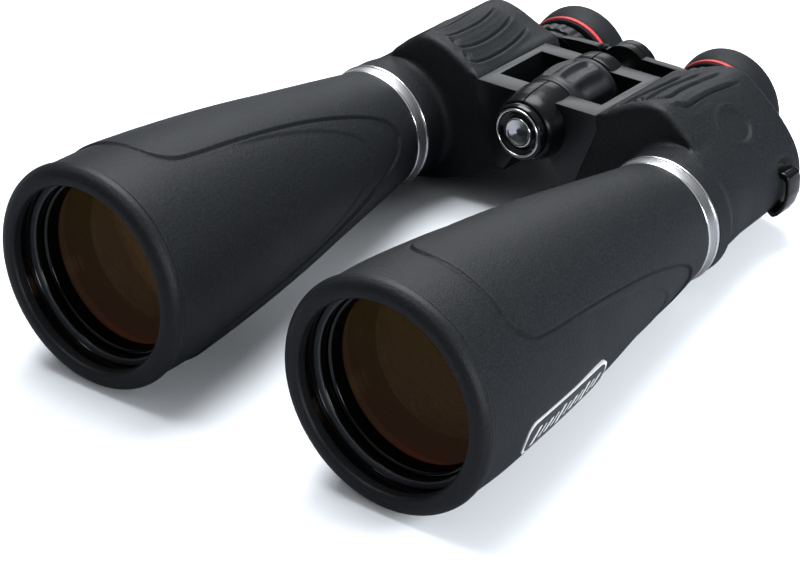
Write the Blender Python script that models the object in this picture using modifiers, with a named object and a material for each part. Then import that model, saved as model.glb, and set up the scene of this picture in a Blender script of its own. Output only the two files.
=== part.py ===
"""Large astronomy binoculars: two Porro-prism telescopes on a central hinge with a focus wheel.

Frame: X across, Y from the objectives (low Y) to the eyepieces (high Y), Z up.
The origin lies under the middle of the object, at the height of the rims' lowest points.
Sizes below are in millimetres. A "station" is a distance behind the plane of the front openings,
and a "height" is measured from the axes of the two objective barrels.
"""
import math

import bmesh
import bpy
from mathutils import Matrix, Vector

MM = 0.001
CLEARANCE = 0.3

# ---- driving dimensions ----
OBJECTIVE_SPACING = 140.0
RIM_RADIUS = 45.4
FRONT_STATION = -2.0
REAR_STATION = 277.0
HINGE_HEIGHT = 16.5
EYEPIECE_X = 37.3
EYEPIECE_HEIGHT = 4.8
MIDDLE_STATION = (FRONT_STATION + REAR_STATION) / 2

BARREL_X = OBJECTIVE_SPACING / 2
LARGE_SEGMENTS = 32
MEDIUM_SEGMENTS = 24
SMALL_SEGMENTS = 20

# ---- barrels: radius of the rubber surface at each station ----
BARREL_PROFILE = ((3.8, 45.4), (22, 45.2), (45, 43.4), (95, 37.3), (145, 29.2), (167.9, 25.4))
TUBE_STATIONS = (3.8, 22, 45, 95, 145)
ARMOUR_THICKNESS = 2.4
TUBE_WALL = 2.0
NECK_RADIUS = 22.1
NECK_END = 175.4
APERTURE_RADIUS = 34.6
LENS_RADIUS = 36.1
LENS_STATION = 20.0

# ---- prism housing ----
FULL_OUTLINE = (
    (29, 28), (36.5, 33.8), (44.5, 38.6), (51.5, 41.3), (58.5, 41.5), (65.5, 37), (74, 29.5), (82.5, 22), (89.5, 13),
    (92.2, 3), (91, -7), (86, -13), (79.5, -19), (72, -25), (62, -27), (50, -23.8), (38, -19.8), (28, -16.8), (20, -12.8),
    (15, -8), (18.5, 1), (22, 10), (25.5, 19),
)
FRONT_OUTLINE = (
    (29, 28), (37, 29.5), (45, 30.5), (54, 31), (62, 30), (70, 28.5), (78, 24.5), (85, 18.5), (90, 11), (92.5, 2),
    (91.5, -7), (88.5, -14), (82, -19.5), (73, -22.5), (64, -20), (54, -16), (46, -13.2), (32, -10.8), (20, -8.6),
    (15, -6), (18.5, 1), (22, 10), (25.5, 19),
)
HOUSING_CENTRE = (58, 3)
NECK_STATION = 174.6
FULL_STATION = 214.0
HOUSING_STATIONS = (NECK_STATION, 180, 187, 195, 204, 214, 229, 236, 241.5)
CASTING_STATIONS = HOUSING_STATIONS[1:]
NECK_SKIN_RADIUS = 25.7
REAR_DROP_START = 229.0
REAR_DROP = 5.5
REAR_FACE = 246.0
LUG_FRONT = 227.0
LUG_REAR = 236.0
CASTING_INSET = 3.6
CASTING_WALL = 2.2

# ---- hinge frame ----
FRAME_TOP = 28.0
FRAME_EDGE_X = 29.0
FRAME_FRONT = 187.0
FRAME_REAR = 234.2
WINDOW_FRONT = 196.8
WINDOW_REAR = 226.0
WINDOW_EDGE_X = 25.0
KNUCKLE_BORE = 11.3
KNUCKLE_RADIUS = 15.2
SECTOR_LOW = math.radians(-62.5)
SECTOR_HIGH = math.radians(89.2)

# ---- focus wheel and bridge ----
WHEEL_FRONT = 197.3
WHEEL_REAR = 225.5
WHEEL_END_RADIUS = 15.0
WHEEL_BULGE = 1.9
FLUTES = 12
GRIP_ROWS = 4
FLUTE_DEPTH = 1.1
SHAFT_RADIUS = 4.1
BRIDGE_FRONT = 250.5
BRIDGE_THICKNESS = 4.0
BRIDGE_HUB_RADIUS = 12.0
BRIDGE_RING_RADIUS = 19.5

# ---- eyepieces ----
OCULAR_RADIUS = 10.0
OCULAR_FLANGE_RADIUS = 16.5
FLANGE_STATION = 262.6


# ---------------------------------------------------------------- scene and materials

def clear_scene():
    for item in list(bpy.data.objects):
        bpy.data.objects.remove(item, do_unlink=True)


def make_collection(name, hidden=False):
    collection = bpy.data.collections.new(name)
    collection.hide_render = hidden
    bpy.context.scene.collection.children.link(collection)
    return collection


def make_material(name, color, roughness, metallic=0.0, alpha=1.0):
    material = bpy.data.materials.new(name)
    material.use_nodes = True
    shader = material.node_tree.nodes["Principled BSDF"]
    shader.inputs["Base Color"].default_value = (*color, 1.0)
    shader.inputs["Roughness"].default_value = roughness
    shader.inputs["Metallic"].default_value = metallic
    shader.inputs["Alpha"].default_value = alpha
    return material


clear_scene()
PARTS = make_collection("astronomy_binoculars")
CUTTERS = make_collection("cutters", hidden=True)

RUBBER = dict(color=(0.035, 0.035, 0.038), roughness=0.6)
CAST_METAL = dict(color=(0.06, 0.06, 0.063), roughness=0.4, metallic=0.3)
BLACK_GLOSS = dict(color=(0.012, 0.012, 0.013), roughness=0.2)
BLACK_METAL = dict(color=(0.02, 0.02, 0.02), roughness=0.35, metallic=0.6)
ALUMINIUM = dict(color=(0.5, 0.5, 0.5), roughness=0.35, metallic=1.0)
BRIGHT_METAL = dict(color=(0.8, 0.8, 0.8), roughness=0.25, metallic=1.0)
STEEL = dict(color=(0.45, 0.45, 0.46), roughness=0.3, metallic=1.0)
BRASS = dict(color=(0.6, 0.45, 0.2), roughness=0.35, metallic=1.0)
COATED_GLASS = dict(color=(0.25, 0.17, 0.08), roughness=0.03, alpha=0.5)
CLEAR_GLASS = dict(color=(0.8, 0.85, 0.85), roughness=0.02, alpha=0.4)
RED = dict(color=(0.62, 0.1, 0.1), roughness=0.45)


# ---------------------------------------------------------------- shape helpers

def at(x, station, height):
    """World position of a point given across, behind the front plane and above the barrel axes."""
    return Vector((x, station - MIDDLE_STATION, height + RIM_RADIUS)) * MM


def add_object(name, mesh, finish, centre=(0.0, 0.0, 0.0)):
    piece = bpy.data.objects.new(name, mesh)
    piece.location = at(*centre)
    PARTS.objects.link(piece)
    if finish:
        mesh.materials.append(make_material(name + "_finish", **finish))
    return piece


def signed_area(outline):
    return sum(a[0] * b[1] - b[0] * a[1] for a, b in zip(outline, outline[1:] + outline[:1])) / 2


def turned(name, outline, finish, x=0.0, height=HINGE_HEIGHT, segments=LARGE_SEGMENTS):
    """Turns an outline of (radius, station) points about an axis parallel to Y.

    An outline that starts and ends on the axis makes a solid piece; any other one is closed to a ring.
    """
    outline = list(outline)
    solid = outline[0][0] == 0 and outline[-1][0] == 0
    if signed_area(outline) > 0:
        outline.reverse()
    mesh = bpy.data.meshes.new(name)
    count = len(outline)
    edges = [(i, i + 1) for i in range(count - 1)]
    if not solid:
        edges.append((count - 1, 0))
    mesh.from_pydata([(r * MM, 0.0, s * MM) for r, s in outline], edges, [])
    piece = add_object(name, mesh, finish, (x, 0.0, height))
    piece.rotation_euler = (-math.pi / 2, 0.0, 0.0)
    turn = piece.modifiers.new("turn", "SCREW")
    turn.angle = 2 * math.pi
    turn.steps = turn.render_steps = segments
    turn.use_merge_vertices = True
    turn.merge_threshold = 0.00001
    turn.use_smooth_shade = True
    return piece


def ring_mesh(name, rings, close_length=True):
    """Skins a list of equally long point rings; with close_length the last ring joins the first.

    Every patch is split along the same diagonal, so an inner skin follows its outer skin exactly.
    """
    bm = bmesh.new()
    layers = [[bm.verts.new(Vector(point) * MM) for point in ring] for ring in rings]
    count = len(layers[0])
    pairs = list(zip(layers, layers[1:]))
    if close_length:
        pairs.append((layers[-1], layers[0]))
    for near, far in pairs:
        forward = near[0].co.y <= far[0].co.y
        for i in range(count):
            j = (i + 1) % count
            if forward:
                bm.faces.new((near[i], near[j], far[j]))
                bm.faces.new((near[i], far[j], far[i]))
            else:
                bm.faces.new((near[i], near[j], far[i]))
                bm.faces.new((near[j], far[j], far[i]))
    if not close_length:
        bm.faces.new(layers[0])
        bm.faces.new(layers[-1])
    return finish_mesh(name, bm)


def finish_mesh(name, bm):
    bmesh.ops.recalc_face_normals(bm, faces=bm.faces)
    mesh = bpy.data.meshes.new(name)
    bm.to_mesh(mesh)
    bm.free()
    mesh.shade_smooth()
    mesh.set_sharp_from_angle(angle=math.radians(35))
    return mesh


def slab(name, outline, start, end, finish=None):
    """A plate whose (x, height) outline is extruded from one station to another."""
    bm = bmesh.new()
    corners = [bm.verts.new((x * MM, 0.0, z * MM)) for x, z in outline]
    face = bm.faces.new(corners)
    grown = bmesh.ops.extrude_face_region(bm, geom=[face])
    moved = [item for item in grown["geom"] if isinstance(item, bmesh.types.BMVert)]
    bmesh.ops.translate(bm, verts=moved, vec=(0.0, (end - start) * MM, 0.0))
    close_openings(bm)
    return add_object(name, finish_mesh(name, bm), finish, (0.0, start, 0.0))


def close_openings(bm):
    open_edges = [edge for edge in bm.edges if edge.is_boundary]
    if open_edges:
        bmesh.ops.holes_fill(bm, edges=open_edges)


def sector(name, outline, low, high, steps, finish=None, x=0.0, height=HINGE_HEIGHT):
    """Part of a turned ring: sweeps a (radius, station) outline between two angles about Y."""
    bm = bmesh.new()
    reach = [(r * math.cos(low), r * math.sin(low), s) for r, s in outline]
    face = bm.faces.new([bm.verts.new((px * MM, s * MM, pz * MM)) for px, pz, s in reach])
    bmesh.ops.spin(bm, geom=[face], cent=(0, 0, 0), axis=(0, -1, 0), angle=high - low, steps=steps)
    close_openings(bm)
    return add_object(name, finish_mesh(name, bm), finish, (x, 0.0, height))


def make_cutter(piece):
    for collection in list(piece.users_collection):
        collection.objects.unlink(piece)
    CUTTERS.objects.link(piece)
    piece.hide_render = True
    piece.display_type = "WIRE"
    return piece


def combine(piece, tool, operation):
    make_cutter(tool)
    step = piece.modifiers.new(operation.lower(), "BOOLEAN")
    step.operation = operation
    step.solver = "EXACT"
    step.object = tool


def attach(piece, pivot):
    """Parents a piece to the empty on its joint axis and keeps its place."""
    piece.parent = pivot
    piece.location = piece.location - pivot.location


def make_pivot(name, x, height):
    pivot = bpy.data.objects.new(name, None)
    pivot.location = at(x, 0.0, height)
    PARTS.objects.link(pivot)
    return pivot


# ---------------------------------------------------------------- objective and barrel

def rubber_radius(station):
    for (s0, r0), (s1, r1) in zip(BARREL_PROFILE, BARREL_PROFILE[1:]):
        if station <= s1:
            return r0 + (r1 - r0) * (station - s0) / (s1 - s0)
    return BARREL_PROFILE[-1][1]


def make_barrel(side, x):
    """Rim, rubber sleeve, metal tube and bright ring, all round the objective's axis."""
    rim = ((37.2, 3.5), (37.2, -0.6), (38.6, FRONT_STATION), (41.6, FRONT_STATION), (44.4, 0.0), (RIM_RADIUS, 3.5))
    turned("objective_rim_" + side, rim, RUBBER, x, 0.0)

    inner = [(max(r - ARMOUR_THICKNESS, NECK_RADIUS + CLEARANCE), s) for s, r in BARREL_PROFILE]
    outer = [(r, s) for s, r in BARREL_PROFILE]
    turned("barrel_armour_" + side, outer + inner[::-1], RUBBER, x, 0.0)

    tube_outer = [(rubber_radius(s) - ARMOUR_THICKNESS - CLEARANCE, s) for s in TUBE_STATIONS]
    tube_outer += [(NECK_RADIUS, 165.0), (NECK_RADIUS, NECK_END)]
    tube_inner = [(r - TUBE_WALL, s) for r, s in tube_outer]
    turned("barrel_tube_" + side, tube_outer + tube_inner[::-1], ALUMINIUM, x, 0.0, MEDIUM_SEGMENTS)

    bore = NECK_RADIUS + CLEARANCE
    ring = ((bore, 168.25), (25.0, 168.25), (25.6, 168.9), (26.2, 173.5), (25.9, 174.2), (bore, 174.2))
    turned("trim_ring_" + side, ring, BRIGHT_METAL, x, 0.0)


def make_objective(side, x):
    """The blackened cell with its baffle step, the two glasses and their threaded ring."""
    outside = BARREL_PROFILE[0][1] - ARMOUR_THICKNESS - TUBE_WALL - 4 * CLEARANCE
    seat = LENS_RADIUS + CLEARANCE
    cell = ((38.6, 3.8), (38.6, 9.8), (seat, 10.6), (seat, 32.0), (33.5, 32.0), (33.5, 34.0),
            (outside - 2, 34.0), (outside - 0.4, 25.0), (outside, 3.8))
    turned("lens_cell_" + side, cell, BLACK_GLOSS, x, 0.0)
    ring = ((APERTURE_RADIUS, 19.6), (APERTURE_RADIUS, 16.5), (LENS_RADIUS, 16.5), (LENS_RADIUS, 19.6))
    turned("lens_retaining_ring_" + side, ring, BLACK_METAL, x, 0.0)
    crown_front = [(r, LENS_STATION - 4.0 * (1 - (r / LENS_RADIUS) ** 2)) for r in (0, 18, 28, LENS_RADIUS)]
    crown_back = [(r, LENS_STATION + 5.0 + 3.0 * (1 - (r / LENS_RADIUS) ** 2)) for r in (LENS_RADIUS, 24, 0)]
    turned("crown_lens_" + side, crown_front + crown_back, COATED_GLASS, x, 0.0)
    flint_front = [(r, s + 0.4) for r, s in crown_back[::-1]]
    flint_back = [(LENS_RADIUS, 31.6), (0, 31.0)]
    turned("flint_lens_" + side, flint_front + flint_back, CLEAR_GLASS, x, 0.0)


# ---------------------------------------------------------------- prism housing

def smooth(value):
    value = min(max(value, 0.0), 1.0)
    return value * value * (3 - 2 * value)


def housing_point(index, station, inset):
    """A point of the skin: the round neck grows into the front outline, and that into the full one."""
    front, full = FRONT_OUTLINE[index], FULL_OUTLINE[index]
    angle = math.atan2(full[1] - HOUSING_CENTRE[1], full[0] - HOUSING_CENTRE[0])
    neck = (BARREL_X + NECK_SKIN_RADIUS * math.cos(angle), NECK_SKIN_RADIUS * math.sin(angle))
    if station < FRAME_FRONT:
        share = smooth((station - NECK_STATION) / (FRAME_FRONT - NECK_STATION))
        start, end, centre_share = neck, front, share
    else:
        share = smooth((station - FRAME_FRONT) / (FULL_STATION - FRAME_FRONT))
        start, end, centre_share = front, full, 1.0
    x = start[0] + (end[0] - start[0]) * share
    z = start[1] + (end[1] - start[1]) * share
    drop = REAR_DROP * (max(station - REAR_DROP_START, 0.0) / (241.0 - REAR_DROP_START)) ** 2
    z -= drop * min(max((z - 10) / 30, 0.0), 1.0) * min(max((x - 28) / 12, 0.0), 1.0)
    centre_x = BARREL_X + (HOUSING_CENTRE[0] - BARREL_X) * centre_share
    centre_z = HOUSING_CENTRE[1] * centre_share
    rounding = min(max((x - 25) / 25, 0.1), 1.0)
    inset = inset + 4.0 * rounding * (max(station - 238.0, 0.0) / (REAR_FACE - 238.0)) ** 2
    keep = 1 - inset / math.hypot(x - centre_x, z - centre_z)
    return centre_x + (x - centre_x) * keep, station, centre_z + (z - centre_z) * keep


def housing_ring(sign, station, inset):
    points = [housing_point(index, station, inset) for index in range(len(FULL_OUTLINE))]
    return [(sign * x, s, z) for x, s, z in points]


def housing_shell(name, sign, stations, outer_inset, inner_inset, finish):
    outside = [housing_ring(sign, station, outer_inset) for station in stations]
    inside = [housing_ring(sign, station, inner_inset) for station in reversed(stations)]
    return add_object(name, ring_mesh(name, outside + inside), finish)


def flipped(sign, outline):
    return [(sign * x, z) for x, z in outline]


def make_housing_armour(side, sign):
    """The rubber skin, open where the metal hinge frame comes through and at the strap lug."""
    armour = housing_shell("housing_armour_" + side, sign, HOUSING_STATIONS, 0.0, ARMOUR_THICKNESS, RUBBER)
    opening = ((FRAME_EDGE_X, 60), (FRAME_EDGE_X, 27.9), (32.5, 24.5), (19, -9), (14.3, -8.2), (-10, -8), (-10, 60))
    tool = slab("frame_opening_" + side, flipped(sign, opening), FRAME_FRONT - CLEARANCE, FRAME_REAR + CLEARANCE)
    combine(armour, tool, "DIFFERENCE")
    upper_hole = ((85, 3.1), (93, 3.1), (93, 6.95), (85, 6.95))
    lower_hole = ((88.9, -15.2), (84.0, -12.1), (86.0, -9.1), (90.4, -10.8))
    for name, hole in (("upper_lug_hole_", upper_hole), ("lower_lug_hole_", lower_hole)):
        tool = slab(name + side, flipped(sign, hole), LUG_FRONT - CLEARANCE, LUG_REAR + CLEARANCE)
        combine(armour, tool, "DIFFERENCE")


def make_housing(side, sign):
    """The casting: prism box, front neck, hinge frame with its window, and half of both knuckles."""
    inner = CASTING_INSET + CASTING_WALL
    housing = housing_shell("prism_housing_" + side, sign, CASTING_STATIONS, CASTING_INSET, inner, CAST_METAL)

    sleeve_outside = NECK_RADIUS - TUBE_WALL - 1.1
    sleeve_inside = sleeve_outside - 1.5
    sleeve = ((sleeve_inside, 168.5), (sleeve_outside, 168.5), (sleeve_outside, 182), (sleeve_inside, 182))
    neck = turned("housing_neck_" + side, sleeve, None, sign * BARREL_X, 0.0, MEDIUM_SEGMENTS)
    combine(housing, neck, "UNION")

    frame = ((28.7, FRAME_TOP), (4.0, FRAME_TOP), (6.9, 4.0), (14.6, -7.5), (18.6, -8.3), (31.9, 24.6), (28.7, 27.6))
    block = slab("hinge_frame_" + side, flipped(sign, frame), FRAME_FRONT, FRAME_REAR)
    window = ((-6, 45), (WINDOW_EDGE_X, 45), (WINDOW_EDGE_X, FRAME_TOP), (11.0, -8.0), (11.0, -20), (-6, -20))
    tool = slab("hinge_window_" + side, flipped(sign, window), WINDOW_FRONT, WINDOW_REAR)
    combine(block, tool, "DIFFERENCE")
    bore = turned("hinge_bore_" + side, ((0, 170), (KNUCKLE_BORE, 170), (KNUCKLE_BORE, 250), (0, 250)), None)
    combine(block, bore, "DIFFERENCE")
    combine(housing, block, "UNION")

    front = ((KNUCKLE_BORE, 178.5), (12.4, 178.5), (13.8, 181.5), (14.8, 187.0), (KNUCKLE_RADIUS, 196.8),
             (KNUCKLE_BORE, 196.8))
    rear = ((KNUCKLE_BORE, 226.4), (KNUCKLE_RADIUS, 226.4), (14.6, 235.4), (KNUCKLE_BORE, 235.4))
    low, high = (SECTOR_LOW, SECTOR_HIGH) if sign > 0 else (math.pi - SECTOR_HIGH, math.pi - SECTOR_LOW)
    for name, outline in (("front_knuckle_", front), ("rear_knuckle_", rear)):
        combine(housing, sector(name + side, outline, low, high, 14), "UNION")
    return housing


def make_rear_cover(side, sign):
    name = "rear_cover_" + side
    stations = (241.8, 244.0, REAR_FACE)
    rings = [housing_ring(sign, station, 0.0) for station in stations]
    cover = add_object(name, ring_mesh(name, rings, close_length=False), BLACK_METAL)
    hole = ((0, 235), (12.8, 235), (12.8, 255), (0, 255))
    tool = turned("guide_hole_" + side, hole, None, sign * EYEPIECE_X, EYEPIECE_HEIGHT, SMALL_SEGMENTS)
    combine(cover, tool, "DIFFERENCE")
    return cover


def make_prism(name, centre, direction, hypotenuse_station, towards, half_length, half_width):
    """A right-angle prism whose long face looks along the telescope's axis."""
    bm = bmesh.new()
    outline = ((-half_length, 0), (half_length, 0), (0, half_length))
    face = bm.faces.new([bm.verts.new((u * MM, -half_width * MM, v * MM)) for u, v in outline])
    grown = bmesh.ops.extrude_face_region(bm, geom=[face])
    moved = [item for item in grown["geom"] if isinstance(item, bmesh.types.BMVert)]
    bmesh.ops.translate(bm, verts=moved, vec=(0.0, 2 * half_width * MM, 0.0))
    close_openings(bm)
    prism = add_object(name, finish_mesh(name, bm), CLEAR_GLASS, (centre[0], hypotenuse_station, centre[1]))
    along = Vector((math.cos(direction), 0.0, math.sin(direction)))
    depth = Vector((0.0, towards, 0.0))
    across = depth.cross(along)
    prism.rotation_euler = Matrix((along, across, depth)).transposed().to_euler()
    return prism


def make_prisms(side, sign):
    """The Porro pair: together they shift the light from the barrel's axis to the eyepiece's axis."""
    shift = Vector((EYEPIECE_X - BARREL_X, EYEPIECE_HEIGHT))
    heading = math.atan2(shift.y, shift.x)
    step = shift.length / math.sqrt(2)
    first = Vector((math.cos(heading - math.pi / 4), math.sin(heading - math.pi / 4))) * step
    second = Vector((math.cos(heading + math.pi / 4), math.sin(heading + math.pi / 4))) * step
    rear_centre = Vector((BARREL_X, 0)) + first / 2
    front_centre = Vector((BARREL_X, 0)) + first + second / 2
    layout = (
        ("rear_prism_", rear_centre, first, 212.0, 1.0, 20.0, 9.5),
        ("front_prism_", front_centre, second, 211.6, -1.0, 18.0, 8.0),
    )
    for name, centre, direction, station, towards, half_length, half_width in layout:
        angle = math.atan2(direction.y, sign * direction.x)
        place = (sign * centre.x, centre.y)
        make_prism(name + side, place, angle, station, towards, half_length, half_width)
    across = math.atan2(first.x, -first.y)
    turn = Matrix.Rotation(across, 2)
    strap = [turn @ Vector(corner) + rear_centre for corner in ((-14, -4), (14, -4), (14, 4), (-14, 4))]
    slab("prism_clip_" + side, [(sign * p.x, p.y) for p in strap], 232.3, 232.9, STEEL)


def make_strap_lug(side, sign):
    """A loop for the neck strap that follows the housing's side; both its feet sink into the rubber."""
    loop = ((89.6, 6.6), (94.4, 6.8), (95.5, 5.0), (95.5, -3.0), (93.8, -8.5), (91.0, -12.6), (88.4, -14.6),
            (84.8, -11.9), (86.4, -9.5), (89.8, -11.0), (92.2, -7.6), (93.8, -2.6), (93.8, 3.4), (89.6, 3.4))
    return slab("strap_lug_" + side, flipped(sign, loop), LUG_FRONT, LUG_REAR, BLACK_GLOSS)


# ---------------------------------------------------------------- eyepieces

def eye_ring(name, outline, finish, sign):
    return turned(name, outline, finish, sign * EYEPIECE_X, EYEPIECE_HEIGHT, SMALL_SEGMENTS)


def make_guide(side, sign):
    outline = ((OCULAR_RADIUS + 0.4, 241.9), (12.4, 241.9), (12.4, 246.1), (OCULAR_RADIUS + 0.4, 246.1))
    return eye_ring("eyepiece_guide_" + side, outline, ALUMINIUM, sign)


def make_ocular(side, sign):
    flange = FLANGE_STATION
    barrel = ((8.4, 238), (OCULAR_RADIUS, 238), (OCULAR_RADIUS, flange), (OCULAR_FLANGE_RADIUS, flange),
              (OCULAR_FLANGE_RADIUS, 273), (14.0, 273), (14.0, 265), (8.4, 264))
    field = ((0, 239.5), (8.1, 241), (8.1, 243.5), (0, 245))
    eye = ((0, 265.6), (13.7, 266.6), (13.7, 269.6), (0, 271.8))
    return (
        eye_ring("ocular_barrel_" + side, barrel, BLACK_METAL, sign),
        eye_ring("field_lens_" + side, field, CLEAR_GLASS, sign),
        eye_ring("eye_lens_" + side, eye, CLEAR_GLASS, sign),
    )


def make_eyecup(side, sign):
    """A keyed sleeve that rises on the eyepiece, and the rubber cup with its red ring that turns on it."""
    sleeve = ((16.8, 262.8), (18.6, 262.8), (18.6, 272.8), (16.8, 272.8))
    cup = ((18.9, 263.0), (21.5, 263.0), (21.6, 263.6), (20.7, 263.6), (20.7, 266.2), (21.9, 266.2), (23.6, 271.0),
           (24.0, 275.6), (23.0, REAR_STATION), (20.6, REAR_STATION), (18.9, 273.2))
    red = ((21.0, 263.9), (22.0, 263.9), (22.1, 265.9), (21.0, 265.9))
    return (
        eye_ring("eyecup_sleeve_" + side, sleeve, BLACK_GLOSS, sign),
        eye_ring("eyecup_" + side, cup, RUBBER, sign),
        eye_ring("accent_ring_" + side, red, RED, sign),
    )


# ---------------------------------------------------------------- centre line

def make_hinge_cores():
    """Both hollow hinge pins, and the threaded insert that takes a tripod adapter."""
    front = ((5.2, 178.7), (11.0, 178.7), (11.0, 196.6), (0, 196.6), (0, 191.0), (5.2, 191.0))
    turned("hinge_core_front", front[3::-1] + front[:3:-1], BLACK_METAL, segments=MEDIUM_SEGMENTS)
    turned("tripod_socket", ((3.3, 178.9), (4.9, 178.9), (4.9, 190.6), (3.3, 190.6)), BRASS, segments=SMALL_SEGMENTS)
    rear = ((SHAFT_RADIUS + CLEARANCE, 226.4), (11.0, 226.4), (11.0, 235.3), (SHAFT_RADIUS + CLEARANCE, 235.3))
    turned("hinge_core_rear", rear, BLACK_METAL, segments=MEDIUM_SEGMENTS)


def make_tripod_cap(pivot):
    """The cap that screws into the tripod socket, with its bright ring and a plain star-like boss."""
    cap = ((0, 186.0), (2.9, 186.0), (2.9, 178.3), (11.6, 178.3), (11.9, 176.4), (11.4, 174.9), (10.6, 174.6),
           (10.6, 175.7), (9.2, 175.7), (9.2, 174.7), (8.6, 174.8), (7.6, 175.7), (0, 176.0))
    ring = ((9.5, 174.3), (10.3, 174.3), (10.3, 175.4), (9.5, 175.4))
    boss = ((0, 174.9), (6.4, 175.0), (6.4, 175.35), (0, 175.6))
    pieces = (
        turned("tripod_cap", cap, BLACK_GLOSS, segments=MEDIUM_SEGMENTS),
        turned("cap_trim_ring", ring, BRIGHT_METAL, segments=MEDIUM_SEGMENTS),
        turned("cap_medallion", boss, BRIGHT_METAL, segments=SMALL_SEGMENTS),
    )
    for piece in pieces:
        attach(piece, pivot)


def wheel_radius(share, angle):
    """The grip bulges in its middle, and its flutes fade out towards both ends."""
    bulge = WHEEL_BULGE * math.sin(math.pi * share)
    flute = FLUTE_DEPTH * (1 - math.cos(FLUTES * angle)) * 0.5 * math.sin(math.pi * share)
    return WHEEL_END_RADIUS + bulge - flute


def make_focus_wheel(pivot):
    """The wheel's core carries the focus screw; the fluted rubber grip is pressed over it."""
    bore = SHAFT_RADIUS + 0.4
    core = ((2.9, WHEEL_FRONT), (13.0, WHEEL_FRONT), (13.0, WHEEL_REAR), (bore, WHEEL_REAR), (bore, 200.3), (2.9, 200.3))
    screw = ((0, 198.0), (2.5, 198.0), (2.5, 222.0), (0, 222.6))
    steps = FLUTES * 4
    rings = []
    for row in range(GRIP_ROWS + 1):
        share = row / GRIP_ROWS
        station = WHEEL_FRONT + (WHEEL_REAR - WHEEL_FRONT) * share
        angles = [2 * math.pi * i / steps for i in range(steps)]
        rings.append([(wheel_radius(share, a) * math.cos(a), station, wheel_radius(share, a) * math.sin(a))
                      for a in angles])
    for station in (WHEEL_REAR, WHEEL_FRONT):
        rings.append([(13.3 * math.cos(a), station, 13.3 * math.sin(a)) for a in angles])
    grip = add_object("focus_wheel_grip", ring_mesh("focus_wheel_grip", rings), RUBBER, (0, 0, HINGE_HEIGHT))
    pieces = (
        turned("focus_wheel_core", core, BLACK_METAL, segments=MEDIUM_SEGMENTS),
        turned("focus_screw", screw, BRASS, segments=SMALL_SEGMENTS),
        grip,
    )
    for piece in pieces:
        attach(piece, pivot)


def arm_outline(sign, hub_x, top, bottom):
    """The flat bar of one bridge arm, from beside the hub to the middle of its eyepiece ring."""
    return flipped(sign, ((hub_x, top), (24, top), (EYEPIECE_X, 17), (EYEPIECE_X, -6), (26, 2), (hub_x, bottom)))


def make_bridge_arm(side, sign, hub_front):
    """One arm of the bridge: hub on the focus shaft, flat bar, and the ring that holds an eyepiece."""
    rear = BRIDGE_FRONT + BRIDGE_THICKNESS
    hub_rear = hub_front + BRIDGE_THICKNESS
    bar_start = 0.0 if hub_front == BRIDGE_FRONT else BRIDGE_HUB_RADIUS + 0.8
    ring = ((0, BRIDGE_FRONT), (BRIDGE_RING_RADIUS, BRIDGE_FRONT), (BRIDGE_RING_RADIUS, rear), (0, rear))
    arm = turned("bridge_arm_" + side, ring, BLACK_GLOSS, sign * EYEPIECE_X, EYEPIECE_HEIGHT, MEDIUM_SEGMENTS)
    bar = slab("arm_bar_" + side, arm_outline(sign, bar_start, 24, 8), BRIDGE_FRONT + 0.2, rear - 0.2)
    combine(arm, bar, "UNION")
    if bar_start:
        joint = ((bar_start + 0.5, 23.7), (20.0, 23.7), (16.2, 15.0), (15.8, 9.4), (bar_start + 0.5, 9.4))
        step = slab("arm_step_" + side, flipped(sign, joint), rear - 1.0, hub_rear - 0.2)
        combine(arm, step, "UNION")
        link = ((2.0, 22.6), (15.4, 22.6), (15.4, 9.8), (2.0, 9.8))
        combine(arm, slab("arm_link_" + side, flipped(sign, link), hub_front + 0.2, hub_rear - 0.4), "UNION")
    hub = ((0, hub_front), (BRIDGE_HUB_RADIUS, hub_front), (BRIDGE_HUB_RADIUS, hub_rear), (0, hub_rear))
    combine(arm, turned("arm_hub_" + side, hub, None, segments=MEDIUM_SEGMENTS), "UNION")
    shaft_hole = ((0, 240), (SHAFT_RADIUS + CLEARANCE, 240), (SHAFT_RADIUS + CLEARANCE, 275), (0, 275))
    combine(arm, turned("shaft_hole_" + side, shaft_hole, None, segments=SMALL_SEGMENTS), "DIFFERENCE")
    eye_hole = ((0, 240), (OCULAR_RADIUS + CLEARANCE, 240), (OCULAR_RADIUS + CLEARANCE, 275), (0, 275))
    tool = turned("eye_hole_" + side, eye_hole, None, sign * EYEPIECE_X, EYEPIECE_HEIGHT, SMALL_SEGMENTS)
    combine(arm, tool, "DIFFERENCE")
    return arm


def make_bridge(bridge_pivot, fold_pivot):
    """Both arms, the shaft that the focus screw drives, and the cap that closes its end."""
    inner = 2.9
    shaft = ((0, 228), (inner, 228), (inner, 206), (SHAFT_RADIUS, 206), (SHAFT_RADIUS, 259.0), (0, 259.0))
    cap = ((0, 259.3), (9.0, 259.3), (9.0, 260.9), (7.4, 262.2), (0, 262.2))
    attach(turned("focus_shaft", shaft, STEEL, segments=SMALL_SEGMENTS), bridge_pivot)
    attach(turned("bridge_end_cap", cap, BLACK_GLOSS, segments=SMALL_SEGMENTS), bridge_pivot)
    attach(make_bridge_arm("right", 1, BRIDGE_FRONT), bridge_pivot)
    attach(make_bridge_arm("left", -1, BRIDGE_FRONT + BRIDGE_THICKNESS + CLEARANCE), fold_pivot)


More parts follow.
